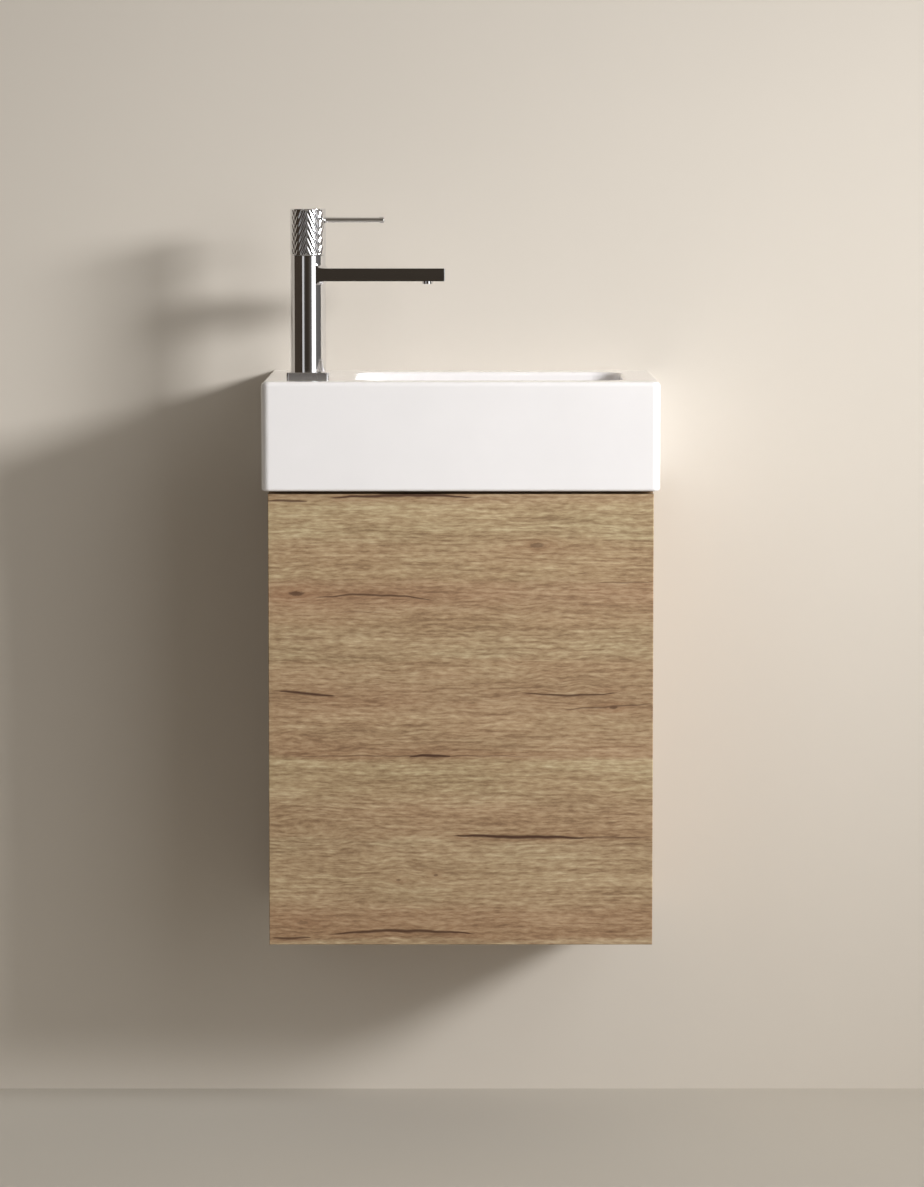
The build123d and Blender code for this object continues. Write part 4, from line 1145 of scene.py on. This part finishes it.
@dataclass
class ScrewRow:
    """Cross-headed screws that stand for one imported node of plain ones."""

    HEAD_SIDES = 28
    SHANK_SIDES = 16
    CROWN_SHARE = 0.72
    SLOT_SHARE = 1.05
    TIP_SHARE = 0.55

    node: str
    body: Turn
    leans: dict[int, tuple[float, float, float]]
    head_radius: float = 0.004
    head_height: float = 0.002
    shank_radius: float = 0.002
    slot_width: float = 0.0009
    slot_depth: float = 0.0013

    @classmethod
    def tree(cls) -> bpy.types.NodeTree:
        """Returns the tree of one screw set on every seat: a bevelled head with a cross, and its shank."""
        tree, graph, source, sink = new_tree("screw_row", {
            "Head Radius": (FLOAT, 0.004),
            "Head Height": (FLOAT, 0.002),
            "Shank Radius": (FLOAT, 0.002),
            "Length": (FLOAT, 0.013),
            "Slot Width": (FLOAT, 0.0009),
            "Slot Depth": (FLOAT, 0.0013),
            "Finish": ("NodeSocketMaterial", None),
        })
        size = source.outputs
        rim = graph.add("GeometryNodeMeshCone")
        rim.inputs["Vertices"].default_value = cls.HEAD_SIDES
        graph.feed(rim.inputs["Radius Bottom"], size["Head Radius"])
        graph.feed(rim.inputs["Radius Top"], graph.math("MULTIPLY", size["Head Radius"], cls.CROWN_SHARE))
        graph.feed(rim.inputs["Depth"], size["Head Height"])
        head = shifted(graph, rim.outputs[0], graph.math("MULTIPLY", size["Head Height"], -1.0))
        slots = []
        for turn in (0.0, math.pi / 2):
            bar = graph.add("GeometryNodeMeshCube")
            span = graph.add("ShaderNodeCombineXYZ")
            graph.feed(span.inputs[0], graph.math("MULTIPLY", size["Head Radius"], cls.SLOT_SHARE))
            graph.feed(span.inputs[1], size["Slot Width"])
            graph.feed(span.inputs[2], graph.math("MULTIPLY", size["Slot Depth"], 2.0))
            graph.feed(bar.inputs["Size"], span.outputs[0])
            slots.append(shifted(graph, bar.outputs[0], 0.0, (0, 0, turn)))
        cross = graph.add("GeometryNodeMeshBoolean", operation="UNION", solver="EXACT")
        for slot in slots:
            graph.tree.links.new(slot, cross.inputs["Mesh 2"])
        head = cut(graph, head, cross.outputs["Mesh"])
        shank = graph.add("GeometryNodeMeshCone")
        shank.inputs["Vertices"].default_value = cls.SHANK_SIDES
        reach = graph.math("SUBTRACT", size["Length"], size["Head Height"])
        graph.feed(shank.inputs["Radius Bottom"], graph.math("MULTIPLY", size["Shank Radius"], cls.TIP_SHARE))
        graph.feed(shank.inputs["Radius Top"], size["Shank Radius"])
        graph.feed(shank.inputs["Depth"], reach)
        stem = shifted(graph, shank.outputs[0], graph.math("MULTIPLY", size["Length"], -1.0))
        whole = graph.add("GeometryNodeJoinGeometry")
        graph.tree.links.new(head, whole.inputs[0])
        graph.tree.links.new(stem, whole.inputs[0])
        finish_tree(graph, source, sink, place_instances(graph, source, whole.outputs[0]))
        return tree

    def build(self, tree: bpy.types.NodeTree, finish: bpy.types.Material, slot: str) -> bpy.types.Object:
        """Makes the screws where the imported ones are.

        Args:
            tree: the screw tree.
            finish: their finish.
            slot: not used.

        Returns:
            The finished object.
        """
        seats, length = [], 0.0
        for low, high in solid_boxes(self.node):
            middle = (low + high) / 2
            side = 1 if middle.x > 0 else -1
            lean = Vector(self.leans[side])
            span = high - low
            length = max(abs(span.dot(lean)), length)
            seats.append((middle + lean * abs(span.dot(lean)) / 2, lean))
        piece = grow(self.node + "_cross", seat_mesh(self.node + "_seats", seats), tree, {
            "Head Radius": self.head_radius,
            "Head Height": self.head_height,
            "Shank Radius": self.shank_radius,
            "Length": length,
            "Slot Width": self.slot_width,
            "Slot Depth": self.slot_depth,
            "Finish": finish,
        })
        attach(piece, self.body.value)
        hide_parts(self.node)
        return piece


@dataclass
class UnionNuts:
    """The trap's three hand-tight nuts, ribbed for grip."""

    WALL_SIDES = 64
    BORE_SIDES = 48
    RIB_SIDES = 10
    RIB_SHARE = 0.86

    node: str = "trap_nuts"
    outer_radius: float = 0.0248
    bore_radius: float = 0.0165
    thread_radius: float = 0.0211
    shoulder: float = 0.004
    length: float = 0.02
    rib_radius: float = 0.0011
    rib_count: int = 30
    parting_level: float = -0.03

    @classmethod
    def tree(cls) -> bpy.types.NodeTree:
        """Returns the tree of one ribbed nut set on every seat."""
        tree, graph, source, sink = new_tree("union_nut", {
            "Outer Radius": (FLOAT, 0.0248),
            "Bore Radius": (FLOAT, 0.0165),
            "Thread Radius": (FLOAT, 0.0211),
            "Shoulder": (FLOAT, 0.004),
            "Length": (FLOAT, 0.02),
            "Rib Radius": (FLOAT, 0.0011),
            "Rib Count": ("NodeSocketInt", 30),
            "Finish": ("NodeSocketMaterial", None),
        })
        size = source.outputs

        def drum(radius: Any, depth: Any, rise: Any, sides: int) -> Any:
            """Returns an upright cylinder whose middle is at rise.

            Args:
                radius: its radius.
                depth: its height.
                rise: how high its middle is.
                sides: how many sides it has.

            Returns:
                The geometry's socket.
            """
            shape = graph.add("GeometryNodeMeshCylinder")
            shape.inputs["Vertices"].default_value = sides
            graph.feed(shape.inputs["Radius"], radius)
            graph.feed(shape.inputs["Depth"], depth)
            return shifted(graph, shape.outputs[0], rise)

        half = graph.math("MULTIPLY", size["Length"], 0.5)
        wall = drum(size["Outer Radius"], size["Length"], half, cls.WALL_SIDES)
        bore = drum(size["Bore Radius"], graph.math("MULTIPLY", size["Length"], 3.0), half, cls.BORE_SIDES)
        deep = graph.math("ADD", half, size["Shoulder"])
        thread = drum(size["Thread Radius"], size["Length"], deep, cls.BORE_SIDES)
        ring = cut(graph, wall, bore, thread)
        rail = graph.add("GeometryNodeMeshCircle")
        graph.feed(rail.inputs["Vertices"], size["Rib Count"])
        graph.feed(rail.inputs["Radius"], size["Outer Radius"])
        rib = drum(size["Rib Radius"], graph.math("MULTIPLY", size["Length"], cls.RIB_SHARE), half, cls.RIB_SIDES)
        ribs = graph.add("GeometryNodeInstanceOnPoints")
        graph.feed(ribs.inputs["Points"], rail.outputs[0])
        graph.feed(ribs.inputs["Instance"], rib)
        whole = graph.add("GeometryNodeJoinGeometry")
        graph.tree.links.new(ring, whole.inputs[0])
        graph.tree.links.new(ribs.outputs[0], whole.inputs[0])
        finish_tree(graph, source, sink, place_instances(graph, source, whole.outputs[0]))
        return tree

    def build(self, finish: bpy.types.Material) -> bpy.types.Object:
        """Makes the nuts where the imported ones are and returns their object.

        Args:
            finish: their finish.

        Returns:
            The finished object.
        """
        seats = []
        for low, high in solid_boxes(self.node):
            middle = (low + high) / 2
            span = high - low
            if span.y < span.z - 0.001:
                lean = Vector((0, 1, 0))
            else:
                lean = Vector((0, 0, 1)) if middle.z > self.parting_level else Vector((0, 0, -1))
            seats.append((middle - lean * self.length / 2, lean))
        piece = grow("trap_nuts_ribbed", seat_mesh("trap_nut_seats", seats), self.tree(), {
            "Outer Radius": self.outer_radius,
            "Bore Radius": self.bore_radius,
            "Thread Radius": self.thread_radius,
            "Shoulder": self.shoulder,
            "Length": self.length,
            "Rib Radius": self.rib_radius,
            "Rib Count": self.rib_count,
            "Finish": finish,
        })
        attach(piece, Turn.CABINET.value)
        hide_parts(self.node)
        return piece


@dataclass
class TapHandle:
    """The tap's round turning handle, cut all round with a chevron relief."""

    FOLD_STEEPNESS = 1.15
    FADE_RATE = 700.0
    FADE_START = 0.56
    FADE_STEEPNESS = 2.2
    SKIN = 0.00002
    DRILL_LENGTH = 0.02
    DRILL_SIDES = 32
    ARC_STEPS = 5

    axis_x: float = -0.1566
    axis_y: float = -0.11
    low: float = 0.2938
    height: float = 0.0477
    radius: float = 0.0182
    edge: float = 0.0008
    recess: float = 0.015
    recess_depth: float = 0.008
    stem_bore: float = 0.00405
    stem_depth: float = 0.03005
    lever_radius: float = 0.00295
    lever_rise: float = 0.0362
    lever_peg: float = 0.008
    grub_radius: float = 0.002
    grub_rise: float = 0.0232
    groove_depth: float = 0.00042
    rib_pitch: float = 0.0085
    rib_rise: float = 0.0307
    apex: float = -3.0
    sector: float = 45.0
    around: int = 360
    rows: int = 132

    def _profile(self) -> list[tuple[float, float]]:
        """Returns the half section as radius and height, from the top's middle round to the stem's bore."""
        top, edge, radius = self.height, self.edge, self.radius
        points = [(0.0, top), (radius - 4 * edge, top)]
        for step in range(self.ARC_STEPS):
            turn = math.radians(90 - 90 / (self.ARC_STEPS - 1) * step)
            points.append((radius - edge + edge * math.cos(turn), top - edge + edge * math.sin(turn)))
        side = top - 2 * edge
        points += [(radius, top - edge - side * row / self.rows) for row in range(1, self.rows)]
        for step in range(self.ARC_STEPS):
            turn = math.radians(-90 / (self.ARC_STEPS - 1) * step)
            points.append((radius - edge + edge * math.cos(turn), edge + edge * math.sin(turn)))
        points += [(self.recess, 0.0), (self.recess, self.recess_depth), (self.stem_bore, self.recess_depth)]
        points += [(self.stem_bore, self.stem_depth), (0.0, self.stem_depth)]
        return points

    def _turned(self) -> bpy.types.Mesh:
        """Returns the smooth handle as one closed mesh turned round the tap's axis."""
        shell = bmesh.new()
        rows = []
        for radius, rise in self._profile():
            level = self.low + rise
            if radius == 0.0:
                rows.append([shell.verts.new((self.axis_x, self.axis_y, level))])
                continue
            row = []
            for step in range(self.around):
                turn = 2 * math.pi * step / self.around
                at = (self.axis_x + radius * math.sin(turn), self.axis_y - radius * math.cos(turn), level)
                row.append(shell.verts.new(at))
            rows.append(row)
        for upper, lower in zip(rows, rows[1:]):
            for step in range(self.around):
                after = (step + 1) % self.around
                if len(upper) == 1:
                    shell.faces.new((upper[0], lower[step], lower[after]))
                elif len(lower) == 1:
                    shell.faces.new((upper[step], lower[0], upper[after]))
                else:
                    shell.faces.new((upper[step], lower[step], lower[after], upper[after]))
        bmesh.ops.recalc_face_normals(shell, faces=shell.faces)
        mesh = bpy.data.meshes.new("tap_handle_turned")
        shell.to_mesh(mesh)
        shell.free()
        return mesh

    def _tree(self) -> bpy.types.NodeTree:
        """Returns the tree that sinks the chevron grooves into the handle's side."""
        tree, graph, source, sink = new_tree("chevron_relief", {
            "Axis X": (FLOAT, 0.0),
            "Axis Y": (FLOAT, 0.0),
            "Low": (FLOAT, 0.0),
            "Height": (FLOAT, 0.05),
            "Radius": (FLOAT, 0.018),
            "Groove Depth": (FLOAT, 0.0004),
            "Rib Pitch": (FLOAT, 0.0085),
            "Rib Rise": (FLOAT, 0.03),
            "Apex": (FLOAT, 0.0),
            "Sector": (FLOAT, 45.0),
            "Finish": ("NodeSocketMaterial", None),
        })
        size = source.outputs
        spot = graph.add("GeometryNodeInputPosition")
        parts = graph.add("ShaderNodeSeparateXYZ")
        graph.feed(parts.inputs[0], spot.outputs[0])
        east = graph.math("SUBTRACT", parts.outputs[0], size["Axis X"])
        south = graph.math("SUBTRACT", size["Axis Y"], parts.outputs[1])
        rise = graph.math("SUBTRACT", parts.outputs[2], size["Low"])
        angle = graph.math("DEGREES", graph.math("ARCTAN2", east, south))
        zig = graph.math("PINGPONG", graph.math("SUBTRACT", angle, size["Apex"]), size["Sector"])
        climb = graph.math("MULTIPLY", graph.math("DIVIDE", zig, size["Sector"]), size["Rib Rise"])
        phase = graph.math("FRACT", graph.math("DIVIDE", graph.math("ADD", rise, climb), size["Rib Pitch"]))
        fold = graph.math("ABSOLUTE", graph.math("SUBTRACT", graph.math("MULTIPLY", phase, 2.0), 1.0))
        groove = graph.math("SUBTRACT", 1.0, graph.math("MULTIPLY", fold, self.FOLD_STEEPNESS), clamp=True)
        reach = graph.math("SQRT", graph.math("ADD", graph.math("MULTIPLY", east, east),
                                              graph.math("MULTIPLY", south, south)))
        skin = graph.math("GREATER_THAN", reach, graph.math("SUBTRACT", size["Radius"], self.SKIN))
        left = graph.math("SUBTRACT", size["Height"], rise)
        fade = graph.math("MULTIPLY", graph.math("MINIMUM", rise, left), self.FADE_RATE, clamp=True)
        fade = graph.math("SUBTRACT", fade, self.FADE_START, clamp=True)
        fade = graph.math("MULTIPLY", fade, self.FADE_STEEPNESS, clamp=True)
        sink_in = graph.math("MULTIPLY", graph.math("MULTIPLY", groove, fade), size["Groove Depth"])
        sink_in = graph.math("DIVIDE", graph.math("MULTIPLY", sink_in, skin), reach)
        offset = graph.add("ShaderNodeCombineXYZ")
        graph.feed(offset.inputs[0], graph.math("MULTIPLY", graph.math("MULTIPLY", east, sink_in), -1.0))
        graph.feed(offset.inputs[1], graph.math("MULTIPLY", south, sink_in))
        shape = graph.add("GeometryNodeSetPosition")
        graph.feed(shape.inputs["Geometry"], size["Geometry"])
        graph.feed(shape.inputs["Offset"], offset.outputs[0])
        finish_tree(graph, source, sink, shape.outputs[0])
        return tree

    def _drill(self, piece: bpy.types.Object) -> None:
        """Cuts the lever's and the grub screw's holes into the finished handle.

        Args:
            piece: the handle.
        """
        cutters = []
        for name, radius, rise, start, turn in (
            ("lever_hole", self.lever_radius, self.lever_rise, (self.radius - self.lever_peg, 0.0), (0, 90, 0)),
            ("grub_hole", self.grub_radius, self.grub_rise, (0.0, self.stem_bore), (-90, 0, 0)),
        ):
            shell = bmesh.new()
            bmesh.ops.create_cone(
                shell,
                cap_ends=True,
                segments=self.DRILL_SIDES,
                radius1=radius,
                radius2=radius,
                depth=self.DRILL_LENGTH,
            )
            mesh = bpy.data.meshes.new(name)
            shell.to_mesh(mesh)
            shell.free()
            cutter = bpy.data.objects.new(name, mesh)
            bpy.context.scene.collection.objects.link(cutter)
            cutter.rotation_euler = [math.radians(part) for part in turn]
            along = Vector((1, 0, 0)) if turn[1] else Vector((0, 1, 0))
            base = Vector((self.axis_x + start[0], self.axis_y + start[1], self.low + rise))
            cutter.location = base + along * self.DRILL_LENGTH / 2
            modifier = piece.modifiers.new(name, "BOOLEAN")
            modifier.operation = "DIFFERENCE"
            modifier.solver = "EXACT"
            modifier.object = cutter
            cutters.append(cutter)
        bpy.context.view_layer.update()
        graph = bpy.context.evaluated_depsgraph_get()
        mesh = bpy.data.meshes.new_from_object(piece.evaluated_get(graph), depsgraph=graph)
        piece.modifiers.clear()
        piece.data = mesh
        for cutter in cutters:
            bpy.data.objects.remove(cutter)

    def build(self, finish: bpy.types.Material) -> bpy.types.Object:
        """Makes the handle and returns its object.

        Args:
            finish: its finish.

        Returns:
            The finished object.
        """
        piece = grow("tap_handle_chevron", self._turned(), self._tree(), {
            "Axis X": self.axis_x,
            "Axis Y": self.axis_y,
            "Low": self.low,
            "Height": self.height,
            "Radius": self.radius,
            "Groove Depth": self.groove_depth,
            "Rib Pitch": self.rib_pitch,
            "Rib Rise": self.rib_rise,
            "Apex": self.apex,
            "Sector": self.sector,
            "Finish": finish,
        })
        self._drill(piece)
        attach(piece, Turn.TAP.value)
        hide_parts("tap_handle")
        return piece


def main() -> None:
    """Builds the pieces, the stage and the camera in order."""
    logging.basicConfig(level=logging.INFO, format="%(message)s")
    bpy.context.scene.view_settings.view_transform = "Standard"
    looks = finishes()
    LOG.info("finishes: %d", len(looks))
    LOG.info("nodes dressed: %d", Dresser(looks).dress_nodes())
    handle = TapHandle().build(looks["bright_chrome"])
    LOG.info("%s: %d faces", handle.name, len(handle.data.polygons))
    nuts = UnionNuts().build(looks["trap_plastic"])
    LOG.info("%s: %d faces", nuts.name, len(nuts.data.polygons))
    right, left, back, down = (1, 0, 0), (-1, 0, 0), (0, 1, 0), (0, 0, -1)
    screw_tree = ScrewRow.tree()
    for row in (
        ScrewRow("hinge_screws", Turn.CABINET, {-1: right, 1: right}),
        ScrewRow("hinge_cup_screws", Turn.DOOR, {-1: back, 1: back}, head_height=0.0015, slot_depth=0.001),
        ScrewRow("hanger_screws", Turn.CABINET, {-1: right, 1: left}),
        ScrewRow("latch_screws", Turn.CABINET, {-1: down, 1: down}, 0.00325, 0.002, 0.00175, 0.0008),
    ):
        screws = row.build(screw_tree, looks["zinc_steel"], "zinc_steel")
        LOG.info("%s: %d faces", screws.name, len(screws.data.polygons))
    Studio().build()
    LOG.info("stage built")
    Camera().place()
    LOG.info("camera placed")


if __name__ == "__main__":
    main()
